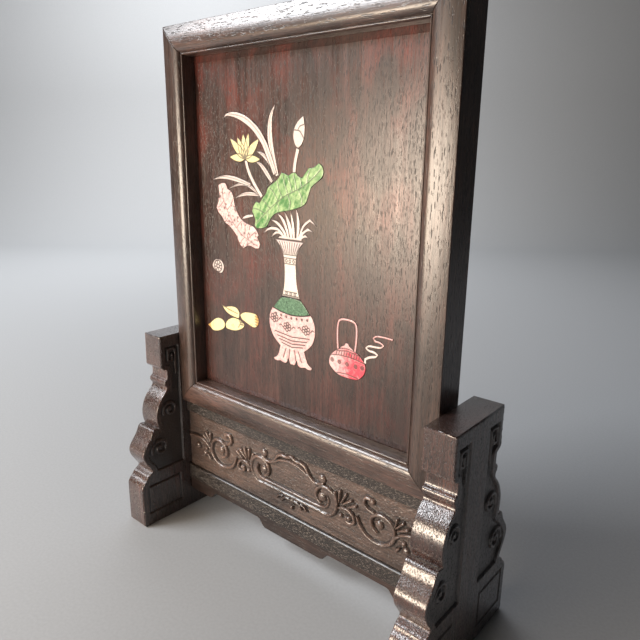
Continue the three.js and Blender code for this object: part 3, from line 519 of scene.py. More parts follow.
def raise_line(height, u, v, line, half_at, profile):
    """Raises height along a line to profile(distance / half width, share of the way)."""
    last = len(line) - 1
    for i in range(last):
        reach = max(half_at(i / last), half_at((i + 1) / last))
        low = np.minimum(line[i], line[i + 1]) - reach
        high = np.maximum(line[i], line[i + 1]) + reach
        near = (u > low[0]) & (u < high[0]) & (v > low[1]) & (v < high[1])
        if not near.any():
            continue
        distance, t = segment_distance(u[near], v[near], line[i], line[i + 1])
        way = (i + t) / last
        share = distance / half_at(way)
        lifted = np.where(share < 1, profile(np.clip(share, 0, 1), way), 0)
        height[near] = np.maximum(height[near], lifted)


def wear_and_shade_from(height, shape):
    """1 on ridges and edges, for wear with a painted sheen, 0 in hollows, for painted shade, from a height
    field on a grid.
    """
    field = height.reshape(shape)
    soft = field.copy()
    for _ in range(WEAR_AND_SHADE_REACH):
        padded = np.pad(soft, 1, mode="edge")
        soft = (padded[:-2, 1:-1] + padded[2:, 1:-1] + padded[1:-1, :-2] + padded[1:-1, 2:] + soft) / 5
    return np.clip(0.5 + WEAR_AND_SHADE_CONTRAST * (field - soft), 0, 1).ravel()


def add_attribute(mesh, name, values):
    layer = mesh.attributes.new(name, "FLOAT", "POINT")
    layer.data.foreach_set("value", np.asarray(values, np.float32))


# Carved board

def both_sides(line):
    return line, [(-x, z) for x, z in line]


def board_height(x, z):
    """Height in millimetres of the carving over the board's face."""
    round_top = lambda share, way: RELIEF_HEIGHT * (1 - share**2.4) ** 0.6
    band_top = lambda share, way: SCROLL_BAND_HEIGHT * (0.75 + 0.4 * share**2) * (1 - share**8)
    height = np.zeros_like(x)
    for side in both_sides(SCROLL_BAND):
        raise_line(height, x, z, spline(side, 60), lambda t: SCROLL_BAND_WIDTH / 2, band_top)
    for line, width, ends in BOARD_LINES:
        for side in both_sides(line):
            half = lambda t: 0.5 * width * np.minimum(1, np.minimum(ends[0] + 5 * t, ends[1] + 5 * (1 - t)))
            raise_line(height, x, z, spline(side, 10 * len(line)), half, round_top)
    for leaf in BOARD_LEAVES:
        for side in both_sides(leaf):
            raise_line(height, x, z, spline(side, 12), lambda t: LEAF_WIDTH * (0.22 + 0.28 * t), round_top)
    knobs = [*BOARD_KNOBS, *((-kx, kz, r) for kx, kz, r in BOARD_KNOBS), *MIDDLE_KNOBS]
    for kx, kz, radius in knobs:
        share = np.hypot(x - kx, z - kz) / radius
        height = np.maximum(height, RELIEF_HEIGHT * np.sqrt(np.clip(1 - share**2.2, 0, 1)))
    ground = sum(mark * uneven(x, z, *sizes) for mark, *sizes in GOUGE_MARKS)
    return height + np.where(height > 0.2, 0.35, 1.0) * (ground - GOUGE_MIDDLE)


def make_carved_board():
    """A fine grid raised by the carving, with straight sides and a plain back."""
    low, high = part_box("carved_board")
    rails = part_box("rail_lower")[1].z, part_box("rail_upper")[0].z
    front = low.y + RELIEF_HEIGHT * MM
    middle = (rails[0] + rails[1]) / 2
    width, depth = high.x - low.x, rails[1] - rails[0]
    columns = round(width / (BOARD_GRID * MM))
    rows = round(depth / (BOARD_GRID * MM))
    deselect_all()
    bpy.ops.mesh.primitive_grid_add(
        x_subdivisions=columns, y_subdivisions=rows, size=1, location=(0, 0, 0), rotation=(math.pi / 2, 0, 0),
    )
    piece = bpy.context.object
    piece.name = "carved_board_relief"
    piece.scale = (width, depth, 1)
    piece.location = (0, front, middle)
    bpy.ops.object.transform_apply(location=True, rotation=True, scale=True)
    mesh = piece.data
    place = np.empty(len(mesh.vertices) * 3)
    mesh.vertices.foreach_get("co", place)
    place = place.reshape(-1, 3)
    x, z = place[:, 0] / MM, (place[:, 2] - middle) / MM
    height = board_height(x, z)
    edge = (np.abs(x) > width / MM / 2 - 0.01) | (np.abs(z) > depth / MM / 2 - 0.01)
    height[edge] = np.minimum(height[edge], 0)
    place[:, 1] = front - np.minimum(height, RELIEF_HEIGHT) * MM
    mesh.vertices.foreach_set("co", place.ravel())
    # The carving's wear, with a painted sheen on its ridges and painted shade in its hollows.
    add_attribute(mesh, "wear", wear_and_shade_from(np.minimum(height, RELIEF_HEIGHT), (rows + 1, columns + 1)))
    bpy.ops.object.mode_set(mode="EDIT")
    bpy.ops.mesh.select_all(action="DESELECT")
    bpy.ops.mesh.select_mode(type="EDGE")
    bpy.ops.mesh.select_non_manifold()
    bpy.ops.mesh.extrude_region_move(TRANSFORM_OT_translate={"value": (0, high.y - front, 0)})
    bpy.ops.mesh.edge_face_add()
    bpy.ops.mesh.select_all(action="SELECT")
    bpy.ops.mesh.normals_make_consistent(inside=False)
    bpy.ops.object.mode_set(mode="OBJECT")
    smooth(piece, 40)
    finish_piece(piece, "carved rosewood", "rosewood", "carved_board")


# Outlines and feet

ROW_SPACING = 0.87
CORNER_CUTS = 2


def cut_corner(a, b):
    """The points a quarter and three quarters of the way from a to b."""
    return [(0.75 * a[0] + 0.25 * b[0], 0.75 * a[1] + 0.25 * b[1]),
            (0.25 * a[0] + 0.75 * b[0], 0.25 * a[1] + 0.75 * b[1])]


def rounded_line(points, corners):
    """Cuts the corners of an open line, except at its ends and at the listed corner points."""
    kept = {points[i] for i in corners}
    line = points
    for _ in range(CORNER_CUTS):
        cut = [line[0]]
        for a, b in zip(line, line[1:]):
            if a in kept and a != line[0]:
                cut.append(a)
            cut += cut_corner(a, b)
        line = [*cut, line[-1]]
    return line


def foot_outline():
    """The whole edge of a foot in Y and Z, anticlockwise from the top right."""
    half = rounded_line(FOOT_EDGE, FOOT_CORNERS)
    right = [p for i, p in enumerate(half) if i == 0 or math.dist(p, half[i - 1]) > 0.05]
    return np.array([*((-y, z) for y, z in right), *reversed(right)])


def polygon_depth(u, v, polygon):
    """How far each point lies inside a polygon; negative outside."""
    inside = np.zeros(u.shape, bool)
    nearest = np.full(u.shape, 1e9)
    for a, b in zip(polygon, np.roll(polygon, -1, axis=0)):
        nearest = np.minimum(nearest, segment_distance(u, v, a, b)[0])
        if a[1] != b[1]:
            crosses = (a[1] > v) != (b[1] > v)
            inside ^= crosses & (u < (b[0] - a[0]) * (v - a[1]) / (b[1] - a[1]) + a[0])
    return np.where(inside, nearest, -nearest)


def loops_depth(u, v, loops):
    """How far each point lies inside a set of outlines; negative outside."""
    depths = [polygon_depth(u, v, loop) for loop in loops]
    inside = np.zeros(u.shape, bool)
    for depth in depths:
        inside ^= depth > 0
    nearest = np.minimum.reduce([np.abs(depth) for depth in depths])
    return np.where(inside, nearest, -nearest)


def inset_points(loop, distance, loops):
    """Points beside an outline and inside the set, without those that crowd a hollow corner."""
    run = np.roll(loop, -1, axis=0) - np.roll(loop, 1, axis=0)
    normal = np.stack([-run[:, 1], run[:, 0]], axis=1)
    normal /= np.maximum(np.linalg.norm(run, axis=1, keepdims=True), 1e-9)
    moved = loop + distance * normal
    return moved[loops_depth(moved[:, 0], moved[:, 1], loops) > 0.9 * abs(distance)]


def triangle_grid(outline, spacing):
    """Points in staggered rows over the outline's box."""
    low, high = outline.min(axis=0), outline.max(axis=0)
    rows = []
    for k, v in enumerate(np.arange(low[1], high[1], spacing * ROW_SPACING)):
        us = np.arange(low[0] + (k % 2) * spacing / 2, high[0], spacing)
        rows.append(np.stack([us, np.full_like(us, v)], axis=1))
    return np.concatenate(rows)


def foot_sink(y, z):
    """How deep, in millimetres, the carving of a foot's face is cut at each place."""
    y = np.abs(y)
    top, bottom = FOOT_GROUND[0][1], FOOT_GROUND[-1][1]
    ground = np.array(rounded_line(FOOT_GROUND, [0, 1]) + [(POST_HALF, bottom), (POST_HALF, top)])
    sink = FOOT_RECESS * step_up(polygon_depth(y, z, ground), 0, 0.8)
    raised = np.zeros_like(y)
    top_of = lambda share, way: (1 - share**3) ** 0.6
    raise_line(raised, y, z, np.array(FOOT_CURL, float), lambda t: CURL_HALF, top_of)
    for cy, cz, radius, inner, start in FOOT_VOLUTES:
        t = np.linspace(0, 1, 60)
        angle = start + 2 * np.pi * VOLUTE_TURNS * t
        reach = radius + (inner - radius) * t
        line = np.stack([cy + reach * np.cos(angle), cz + reach * np.sin(angle)], axis=1)
        raise_line(raised, y, z, line, lambda t: 1.2 - 0.3 * t, top_of)
        eye = np.hypot(y - cy, z - cz) / VOLUTE_EYE
        raised = np.maximum(raised, np.sqrt(np.clip(1 - eye**2, 0, 1)))
    sink *= 1 - raised
    middle_y, middle_z, half_y, half_z = BASE_GROOVE
    from_groove = np.maximum(np.abs(y - middle_y) - half_y, np.abs(z - middle_z) - half_z)
    groove = np.clip(1 - (np.abs(from_groove) / (GROOVE_WIDTH / 2)) ** 2, 0, 1)
    return np.maximum(sink, FOOT_RECESS * 0.8 * groove)


def fine_face(loops, spacing, rim, shares, margin):
    """A fine triangulated face inside outlines, and the outlines' edges. The outlines' points come
    first, then rings at shares of the rim, then a grid that starts a margin further in."""
    outline = np.concatenate(loops)
    rings = [inset_points(loop, side * share * rim, loops)
             for loop in loops for side in (1, -1) for share in shares]
    inner = triangle_grid(outline, spacing)
    inner = inner[loops_depth(inner[:, 0], inner[:, 1], loops) > rim + margin * spacing]
    points = [Vector(p) for p in np.concatenate([outline, *rings, inner])]
    edges, start = [], 0
    for loop in loops:
        count = len(loop)
        edges += [(start + i, start + (i + 1) % count) for i in range(count)]
        start += count
    verts, _, faces, *_ = delaunay_2d_cdt(points, edges, [], 0, 1e-6)
    if any((verts[i] - points[i]).length > 1e-5 for i in range(len(outline))):
        raise RuntimeError("an outline crosses itself")
    flat = np.array([tuple(v) for v in verts])
    middles = np.array([flat[list(f)].mean(axis=0) for f in faces])
    within = loops_depth(middles[:, 0], middles[:, 1], loops) > 0
    return flat, [tuple(f) for f, keep in zip(faces, within) if keep], edges


def rounded_drop(depth, radius):
    """How far a rounded edge has dropped at a depth inside the outline."""
    short = radius - np.clip(depth, 0, radius)
    return radius - np.sqrt(np.clip(radius**2 - short**2, 0, None))


def make_foot(name, node):
    """Two fine carved faces with rounded edges, and the moulded edge between them."""
    low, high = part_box(node)
    outline = foot_outline()
    flat, faces, edges = fine_face([outline], FOOT_GRID, FOOT_ROUNDING, (0.15, 0.45, 1), 0.5)
    size = len(flat)
    depth = np.maximum(polygon_depth(flat[:, 0], flat[:, 1], outline), 0)
    depth[:len(outline)] = 0
    fade = step_up(depth, *FOOT_BORDER)
    sink = foot_sink(flat[:, 0], flat[:, 1]) * fade
    hump, wide, tall, seed = FOOT_UNEVEN
    rough = hump * (value_noise(flat[:, 0] / wide + FOOT_SHIFT, flat[:, 1] / tall, seed) - 0.5) * fade
    drop = rounded_drop(depth, FOOT_ROUNDING) + np.clip(sink + rough, 0, None)
    points = np.concatenate([
        np.column_stack([x, flat]) for x in (low.x / MM + drop, high.x / MM - drop)])
    polygons = faces + [tuple(size + i for i in reversed(f)) for f in faces]
    polygons += [(a, size + a, size + b, b) for a, b in edges]
    piece = new_piece(name, points, polygons)
    # Edges are lightened as wear; the carved hollows are darkened by their depth as painted shade.
    wear = 0.5 - 0.33 * sink + 0.3 * (1 - step_up(depth, 0.2, 0.9))
    add_attribute(piece.data, "wear", np.tile(wear, 2))
    face_outwards(piece)
    smooth(piece, 35)
    finish_piece(piece, "foot rosewood", "rosewood", node)


# Inlay. The engraving is drawn in X and Z from the middle of the panel, in millimetres: lines
# with their half width and how dark their pigment is.

SHELL_RIM = 0.16
SHELL_GRID = 0.3
# An even shift of the noise under the shell's veins and flecks, and the noises' seeds.
SHELL_SHIFT = 90
VEIN_SEED = 11
FLECK_SEED = 21
SHARP_CORNER = 48
INKED_RIM = 0.36
ENGRAVED_DEPTH = 0.07
LOTUS_BASE = (-36.6, 41)
LOTUS_PETALS = [
    ((-48.8, 41.8), 4.4), ((-48.2, 51.4), 4.8), ((-42.4, 52), 4.4), ((-37.8, 53.6), 5), ((-33.6, 54.2), 4),
    ((-26, 51), 5), ((-25.2, 40.8), 4.2),
]
MIDRIBS = {
    "long_blade": [(-49, 64.2), (-36, 61.6), (-24.6, 53), (-18.6, 42.6), (-14.2, 33.6)],
    "upright_blade": [(-15.4, 65), (-18, 59), (-17.2, 47), (-12.6, 32.8)],
    "inner_blade": [(-25, 44), (-22.6, 43.2), (-18, 39.4), (-14.4, 34)],
    "short_blade": [(-26.4, 38.8), (-24, 37.8), (-20, 33.4), (-16.4, 29.6)],
    "left_blade": [(-60, 30.2), (-54, 31.2), (-44, 30), (-32.8, 27.4)],
    "lower_left_blade": [(-48, 25.6), (-44, 27), (-37.6, 28), (-32.6, 26.4), (-27, 23)],
    "low_blade": [(-43, 21), (-39, 22.2), (-33, 22.8), (-26.4, 22.4)],
}
BUD_FOLDS = [[(-1.3, 55.2), (2, 54.9), (3.6, 54), (5.6, 51.2)], [(1.8, 55.1), (3, 56.8), (5.6, 57.6)]]
GREEN_VEINS = [
    [(-28.6, 7.4), (-20, 14.5), (-8, 22.5), (4, 27.5), (12, 32.6), (17, 37)],
    [(-22, 13), (-27, 14.8), (-30.6, 15.2)], [(-18, 15.6), (-22, 19), (-24.6, 20.2)],
    [(-12, 19.8), (-15, 24), (-18.2, 26.6)], [(-5, 23.6), (-7, 28.6), (-8.6, 33)],
    [(1, 26.2), (0, 30.4), (-1, 33.6)], [(8, 29.6), (8.4, 33), (9.8, 36)],
    [(-20, 14.5), (-19.8, 10), (-22.6, 6.4)], [(-13, 19), (-11.4, 16.6), (-12.4, 14.8)],
    [(-5, 23.6), (-3.4, 19.6), (-4.4, 16.6)],
    [(2, 26.6), (4.6, 22.4), (4.4, 19)], [(-9, 21.8), (-11.6, 26.4), (-12.6, 30.4)],
    [(-2, 25), (-3.4, 29), (-4.8, 32.4)], [(4.4, 27.8), (4, 30), (3.6, 32)],
]
PINK_VEINS = [
    [(-56.4, 26), (-55, 18), (-50, 9), (-42, 1), (-34, -3), (-28, -5)],
    [(-55, 18), (-58, 15), (-60, 14)], [(-52.4, 13), (-49, 16), (-47.6, 19)],
    [(-47, 6), (-50, 6.4), (-53, 6.6)], [(-44.6, 3.6), (-42.4, 6), (-40.6, 7.4)],
    [(-38, -1), (-41, -3.4), (-41.4, -5)],
    [(-36, -2), (-32, 1), (-29.4, 2.6)], [(-33, -3.4), (-35, -4.4), (-36, -5)],
]
VASE_ROSETTES = [(-15.6, -43), (-6, -46.6), (7.6, -46)]
TEAPOT_DOTS = [(25.8, -57.8), (30.5, -58), (35.5, -58.2), (40.9, -58.2), (45, -58)]
MEDALLION = (-61.9, -20.2)


def ring(x, z, radius, count=14):
    turns = (2 * math.pi * i / count for i in range(count + 1))
    return [(x + radius * math.cos(turn), z + radius * math.sin(turn)) for turn in turns]


def petal_edges(base, tip, width):
    """The two long edges of a pointed petal."""
    along = np.array(tip) - np.array(base)
    normal = np.array([-along[1], along[0]]) / np.linalg.norm(along)
    t = np.linspace(0, 1, 12)[:, None]
    middle = np.array(base) + t * along
    swell = width * (0.04 + 0.46 * np.sin(np.pi * t**0.8))
    return [middle + normal * swell, middle - normal * swell]


def vase_axis(z):
    """The middle of the slightly leaning vase at a height."""
    return -2.8 - 0.03 * (z + 46)


def vase_neck_lines():
    lines = []
    for share in np.linspace(-0.92, 0.92, 9):
        lines.append([(vase_axis(-6.6) + 4.6 * share, -6.6), (vase_axis(-2) + 8 * share, -0.7)])
    for z, half in ((-7.2, 4.7), (-9, 4.2), (-12, 4), (-27, 4.4), (-29, 5.6)):
        lines.append([(vase_axis(z) - half, z), (vase_axis(z) + half, z)])
    for share in (-0.66, 0, 0.66):
        lines.append(ring(vase_axis(-10.5) + 3.9 * share, -10.5, 0.75, 8))
        lines.append(ring(vase_axis(-28) + 4.6 * share, -28, 0.7, 8))
    return lines


def vase_body_lines():
    lines = []
    for x, z in VASE_ROSETTES:
        lines.append(ring(x, z, 0.7, 8))
        for k in range(6):
            angle = math.pi / 3 * k + 0.4
            lines.append(ring(x + 1.9 * math.cos(angle), z + 1.7 * math.sin(angle), 0.95, 8))
        for k in (-1, 1):
            lines.append([(x + 3.2 * k, z - 0.6), (x + 4.6 * k, z + 0.8), (x + 5.8 * k, z + 0.2)])
    for z, half in ((-51.2, 12.6), (-53.4, 10.8), (-55.2, 9.6), (-57, 7.8)):
        middle = vase_axis(z)
        lines.append([(middle - half, z + 0.8), (middle, z - 0.5), (middle + half, z + 0.8)])
    for share in (-0.62, -0.24, 0.24, 0.62):
        lines.append([(vase_axis(-59) + 7.4 * share, -59), (vase_axis(-65) + 11 * share, -64.6)])
    for k in range(7):
        x = vase_axis(-41.6) + 11.4 * (k - 3) / 3
        lines.append(ring(x, -41.3 + 0.3 * abs(k - 3), 0.5, 6))
    return lines


def teapot_lines():
    strokes = [28.4 + 1.6 * k for k in range(10)]
    return [
        *(ring(x, z, radius, count) for radius, count in ((0.95, 10), (0.25, 5)) for x, z in TEAPOT_DOTS),
        [(25, -55.2), (30, -54.4), (35.4, -54.2), (41, -54.6), (46, -55.4)],
        [(28.4, -52.4), (35.4, -51.2), (43, -52.2)],
        *([(x, -54.3), (x + 0.5, -52)] for x in strokes),
        [(29, -64), (35.6, -63.4), (42.4, -64.2)],
    ]


def citron_lines():
    return [
        [(-57.4, -57), (-57, -54), (-57.8, -52.6)], [(-44.8, -49.8), (-43.8, -52), (-45.4, -54.6)],
        *([(-31.4, z), (-28.6, z - 0.3)] for z in (-45.4, -47, -48.6, -50.2)),
        *(ring(-43.4 + 0.9 * i, -49.8 - 1.3 * j, 0.3, 5) for i in range(3) for j in range(3)),
        [(-58.8, -43.7), (-53, -45.2), (-46, -46.4)],
    ]


def medallion_lines():
    x, z = MEDALLION
    lines = [ring(x, z, 3.4, 16), ring(x, z, 1.1, 10)]
    for k in range(8):
        angle = math.pi / 4 * k + 0.2
        c, d = math.cos(angle), math.sin(angle)
        lines.append([(x + 1.5 * c, z + 1.4 * d), (x + 3 * c, z + 2.8 * d)])
    return lines


def lotus_lines():
    return [edge for tip, width in LOTUS_PETALS for edge in petal_edges(LOTUS_BASE, tip, width)]


def splines(lines, steps):
    return [spline(line, steps) for line in lines]


# Each figure's engraving: what draws its lines, their half width and how dark they are.
ENGRAVING = {
    **{blade: (lambda line=line: splines([line], 24), 0.24, 0.6) for blade, line in MIDRIBS.items()},
    "lotus_flower": (lotus_lines, 0.28, 0.85),
    "lotus_bud": (lambda: splines(BUD_FOLDS, 10), 0.3, 0.9),
    "leaf_green": (lambda: splines(GREEN_VEINS, 16), 0.25, 0.65),
    "leaf_pink": (lambda: splines(PINK_VEINS, 14), 0.26, 0.7),
    "vase_neck": (vase_neck_lines, 0.27, 0.9),
    "vase_body": (vase_body_lines, 0.3, 0.95),
    "teapot_body": (teapot_lines, 0.3, 0.85),
    "medallion": (medallion_lines, 0.32, 1.0),
    "citron": (citron_lines, 0.28, 0.8),
}
NO_ENGRAVING = (list, 0.0, 0.0)

# How far each shell leans to its second colour, about a middle of 0.5. A tint that changes has
# its axis, start and rise, and the places between which it rises.
PLAIN_TINTS = {
    "teapot_handle": 0.8, "teapot_lid": 0.8, "vase_body": 0.6,
    "citron_middle": 0.18, "citron_leaf": 0.18, "lotus_flower": 0.18,
}
CHANGING_TINTS = {
    "teapot_body": ("x", 0.25, 0.55, 24, 44), "citron_fingers": ("x", 0.2, 0.6, -32, -29),
    "citron_tip": ("x", 0.15, 0.5, -68, -72), "steam": ("z", 0.1, 0.9, -47, -41),
    "vase_neck": ("z", 0.2, 0.6, -8, -4),
}


def tint_of(figure, x, z):
    if figure in CHANGING_TINTS:
        axis, start, rise, low, high = CHANGING_TINTS[figure]
        return start + rise * step_up(x if axis == "x" else z, low, high)
    if figure == "leaf_green":
        along, across = 0.5 * x + 0.87 * z, 0.87 * x - 0.5 * z
        return 0.2 + 0.6 * uneven(along, across, 4.5, 1.1, VEIN_SEED, SHELL_SHIFT)
    return np.full_like(x, PLAIN_TINTS.get(figure, 0.5))


# Size, share and strength of the small brown flecks cut all over a figure.
FLECKED = {"leaf_pink": (0.9, 0.32, 0.75), "vase_body": (0.8, 0.2, 0.5), "leaf_green": (0.7, 0.16, 0.4)}
SHELL_COLOURS = {
    "green": ("leaf_green",),
    "deep green": ("vase_collar",),
    "yellow": ("lotus_flower", "citron_tip", "citron_middle", "citron_leaf", "citron_fingers"),
    "red": ("teapot_body",),
    "pink": ("leaf_pink", "vase_body", "teapot_lid", "teapot_handle", "steam"),
}


def front_outlines(node):
    """The closed outlines of a plate's front face, in X and Z."""
    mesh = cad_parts[node].data
    place = lambda i: (round(mesh.vertices[i].co.x / MM, 3), round(mesh.vertices[i].co.z / MM, 3))
    edges = set()
    for face in mesh.polygons:
        if face.normal.y < -0.99:
            corners = [place(i) for i in face.vertices]
            edges |= set(zip(corners, corners[1:] + corners[:1]))
    following = {a: b for a, b in edges if (b, a) not in edges}
    loops = []
    while following:
        start, at = following.popitem()
        loop = [start]
        while at != start:
            loop.append(at)
            at = following.pop(at)
        loops.append(loop)
    return loops


def rounded_loop(loop):
    """A closed outline with its gentle corners cut and its sharp ones kept."""
    kept = set()
    for before, at, after in zip(loop[-1:] + loop, loop, loop[1:] + loop[:1]):
        a, b, c = Vector(before), Vector(at), Vector(after)
        if math.degrees((b - a).angle(c - b, 0)) > SHARP_CORNER:
            kept.add(at)
    for _ in range(CORNER_CUTS):
        cut = []
        for a, b in zip(loop, loop[1:] + loop[:1]):
            cut += ([a] if a in kept else []) + cut_corner(a, b)
        loop = cut
    return np.array(loop)


def make_inlay_piece(node):
    """A plate of polished shell with an eased rim, its engraved lines sunk and inked."""
    figure = node.removeprefix("inlay_")
    low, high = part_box(node)
    panel_low, panel_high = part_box("panel")
    middle_z = (panel_low.z + panel_high.z) / 2 / MM
    loops = [rounded_loop(loop) for loop in front_outlines(node)]
    flat, faces, edges = fine_face(loops, SHELL_GRID, SHELL_RIM, (0.3, 1), 0.45)
    x, z = flat[:, 0], flat[:, 1] - middle_z
    kind = "citron" if figure.startswith("citron") else figure
    draw, half, darkness = ENGRAVING.get(kind, NO_ENGRAVING)
    cut = np.zeros_like(x)
    for line in draw():
        raise_line(cut, x, z, np.array(line, float), lambda t: 1.5 * half, lambda share, way: 1 - share**3)
    depth = np.maximum(loops_depth(flat[:, 0], flat[:, 1], loops), 0)
    sunk = ENGRAVED_DEPTH * cut * step_up(depth, 0, 2 * SHELL_RIM)
    front = low.y / MM + rounded_drop(depth, SHELL_RIM) + sunk
    size = len(flat)
    points = np.concatenate([
        np.column_stack([x, y, flat[:, 1]]) for y in (front, np.full(size, high.y / MM))])
    polygons = [tuple(reversed(f)) for f in faces] + [tuple(size + i for i in f) for f in faces]
    polygons += [(a, b, size + b, size + a) for a, b in edges]
    piece = new_piece("shell_" + figure, points, polygons)
    ink = np.maximum(darkness * cut, 0.75 * (1 - step_up(depth, 0, INKED_RIM)))
    if figure in FLECKED:
        fleck, share, strength = FLECKED[figure]
        flecks = uneven(x, z, fleck, fleck, FLECK_SEED, SHELL_SHIFT)
        ink = np.maximum(ink, strength * step_up(flecks, 1 - share, 1.1 - share))
    add_attribute(piece.data, "ink", np.tile(np.clip(ink, 0, 1), 2))
    add_attribute(piece.data, "tint", np.tile(tint_of(figure, x, z), 2))
    face_outwards(piece)
    bpy.ops.object.shade_smooth_by_angle(angle=math.radians(50))
    colour = next((c for c, figures in SHELL_COLOURS.items() if figure in figures), "white")
    finish_piece(piece, colour + " shell", "shell_" + colour.replace(" ", "_"), node)


# Stage

CAMERA_PLACE = (212.616, -229.249, 234.239)
CAMERA_FORWARD = (-0.626519, 0.732903, -0.265193)
CAMERA_ROLL = 0.0104
FOCAL_PIXELS = 606.66
PICTURE_PIXELS = 640
SENSOR = 36.0
# The paper in metres: its width and depth on the table, and the wall it climbs.
BACKDROP_BEHIND = 1.2
SHEET_WIDTH = 7.0
SHEET_DEPTH = 5.0
WALL_HEIGHT = 2.0
CURVE_RADIUS = 0.4
CURVE_STEPS = 16
# Each light's place, what it faces, its size, the setting of its power, and its colour.
LIGHTS = {
    "window": ((-0.85, -0.85, 1.05), (0, 0, 0.12), (0.7, 0.5), "key_power", "#f8fbff"),
    "overhead": ((-0.25, 0.55, 0.95), (0, 0, 0.12), (0.6, 0.6), "fill_power", "#f1f4ff"),
    "wash": ((-0.9, 0.55, 0.9), (-1.25, 0.8, 0), (0.7, 0.4), "wash_power", "#f8fbff"),
    "card": ((-0.2, -0.9, 0.165), (0.05, 0, 0.13), (0.7, 0.28), "card_power", "#ffecd6"),
    "glow": ((-0.46, -0.66, 0.135), (0.04, 0, 0.185), (0.2, 0.1), "glow_power", "#ffdcab"),
}


def make_camera():
    data = bpy.data.cameras.new("camera")
    data.sensor_width = SENSOR
    data.lens = FOCAL_PIXELS / PICTURE_PIXELS * SENSOR
    data.clip_start = 0.01
    camera = add_object("camera", data)
    forward = Vector(CAMERA_FORWARD).normalized()
    level = forward.cross(Vector((0, 0, 1))).normalized()
    upright = level.cross(forward)
    right = level * math.cos(CAMERA_ROLL) + upright * math.sin(CAMERA_ROLL)
    up = upright * math.cos(CAMERA_ROLL) - level * math.sin(CAMERA_ROLL)
    turn = Matrix((right, up, -forward)).transposed().to_4x4()
    camera.matrix_world = Matrix.Translation(Vector(CAMERA_PLACE) * MM) @ turn
    bpy.context.scene.camera = camera


def make_light(name, place, target, size, power, colour):
    data = bpy.data.lights.new(name, "AREA")
    data.shape = "RECTANGLE"
    data.size, data.size_y = size
    data.energy = power
    data.color = linear(colour)[:3]
    light = add_object(name, data)
    light.location = place
    light.rotation_euler = (Vector(target) - Vector(place)).to_track_quat("-Z", "Y").to_euler()


def make_backdrop():
    """A sheet of paper that lies on the table and curves up far behind, square to the camera."""
    deselect_all()
    bpy.ops.mesh.primitive_plane_add(size=1, location=(0, 0, 0))
    sheet = bpy.context.object
    sheet.name = "backdrop"
    sheet.scale = (SHEET_WIDTH, SHEET_DEPTH, 1)
    sheet.location = (0, BACKDROP_BEHIND - SHEET_DEPTH / 2, 0)
    bpy.ops.object.transform_apply(location=True, rotation=True, scale=True)
    bpy.ops.object.mode_set(mode="EDIT")
    bpy.ops.mesh.select_mode(type="EDGE")
    bpy.ops.mesh.select_all(action="DESELECT")
    mesh = bmesh.from_edit_mesh(sheet.data)
    back = max(v.co.y for v in mesh.verts)
    for edge in mesh.edges:
        edge.select_set(all(abs(v.co.y - back) < 1e-6 for v in edge.verts))
    bmesh.update_edit_mesh(sheet.data)
    run = CURVE_RADIUS * math.pi / 2 / CURVE_STEPS
    for i in range(CURVE_STEPS):
        angle = math.pi / 2 * (i + 0.5) / CURVE_STEPS
        bpy.ops.mesh.extrude_region_move(
            TRANSFORM_OT_translate={"value": (0, run * math.cos(angle), run * math.sin(angle))})
    bpy.ops.mesh.extrude_region_move(TRANSFORM_OT_translate={"value": (0, 0, WALL_HEIGHT)})
    bpy.ops.object.mode_set(mode="OBJECT")
    sheet.rotation_euler.z = math.atan2(-CAMERA_FORWARD[0], CAMERA_FORWARD[1])
    bpy.ops.object.transform_apply(location=True, rotation=True, scale=True)
    bpy.ops.object.shade_smooth()
    sheet.data.materials.append(material("backdrop paper"))
    sheet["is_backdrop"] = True


def make_world(colour, strength):
    world = bpy.data.worlds.new("studio")
    bpy.context.scene.world = world
    world.use_nodes = True
    ground = world.node_tree.nodes["Background"]
    ground.inputs["Color"].default_value = linear(colour)
    ground.inputs["Strength"].default_value = strength


# Settings, operators and panel

class TableScreenSettings(bpy.types.PropertyGroup):
    edge_rounding: FloatProperty(
        name="Edge rounding", description="Radius of the eased edges of the frame", unit="LENGTH",
        default=0.35 * MM, min=0.05 * MM, max=1.0 * MM)
    rail_rounding: FloatProperty(
        name="Rail rounding", description="Radius of the eased edges of the rails", unit="LENGTH",
        default=0.75 * MM, min=0.05 * MM, max=1.2 * MM)
    key_power: FloatProperty(
        name="Window light", description="Power of the large light from the left", unit="POWER", default=24.5)
    fill_power: FloatProperty(
        name="Top light", description="Power of the soft light above and behind", unit="POWER", default=1.8)
    card_power: FloatProperty(
        name="Low card", description="Power of the wide low light in front", unit="POWER", default=13.0)
    glow_power: FloatProperty(
        name="Small warm card", description="Power of the small light mirrored in the panel", unit="POWER",
        default=0.35)
    wash_power: FloatProperty(
        name="Backdrop light", description="Power of the light on the left of the backdrop", unit="POWER",
        default=12.0)
    room_light: FloatProperty(
        name="Room light", description="Strength of the even light", subtype="FACTOR", default=0.04)


class TABLE_SCREEN_OT_frame(bpy.types.Operator):
    """Makes the four mitred members of the frame"""
    bl_idname = "table_screen.frame"
    bl_label = "Frame members"

    def execute(self, context):
        rounding = context.scene.table_screen.edge_rounding
        for member in ("stile_left", "stile_right", "rail_top", "rail_bottom"):
            wood = "upright rosewood" if member.startswith("stile") else "level rosewood"
            piece = eased_copy("frame_" + member, "moulded_" + member, rounding)
            finish_piece(piece, wood, "rosewood", "frame_" + member)
        return {"FINISHED"}


class TABLE_SCREEN_OT_panel(bpy.types.Operator):
    """Gives the panel its finish"""
    bl_idname = "table_screen.panel"
    bl_label = "Panel"

    def execute(self, context):
        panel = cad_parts["panel"]
        panel.data.materials.clear()
        panel.data.materials.append(material("panel rosewood"))
        return {"FINISHED"}


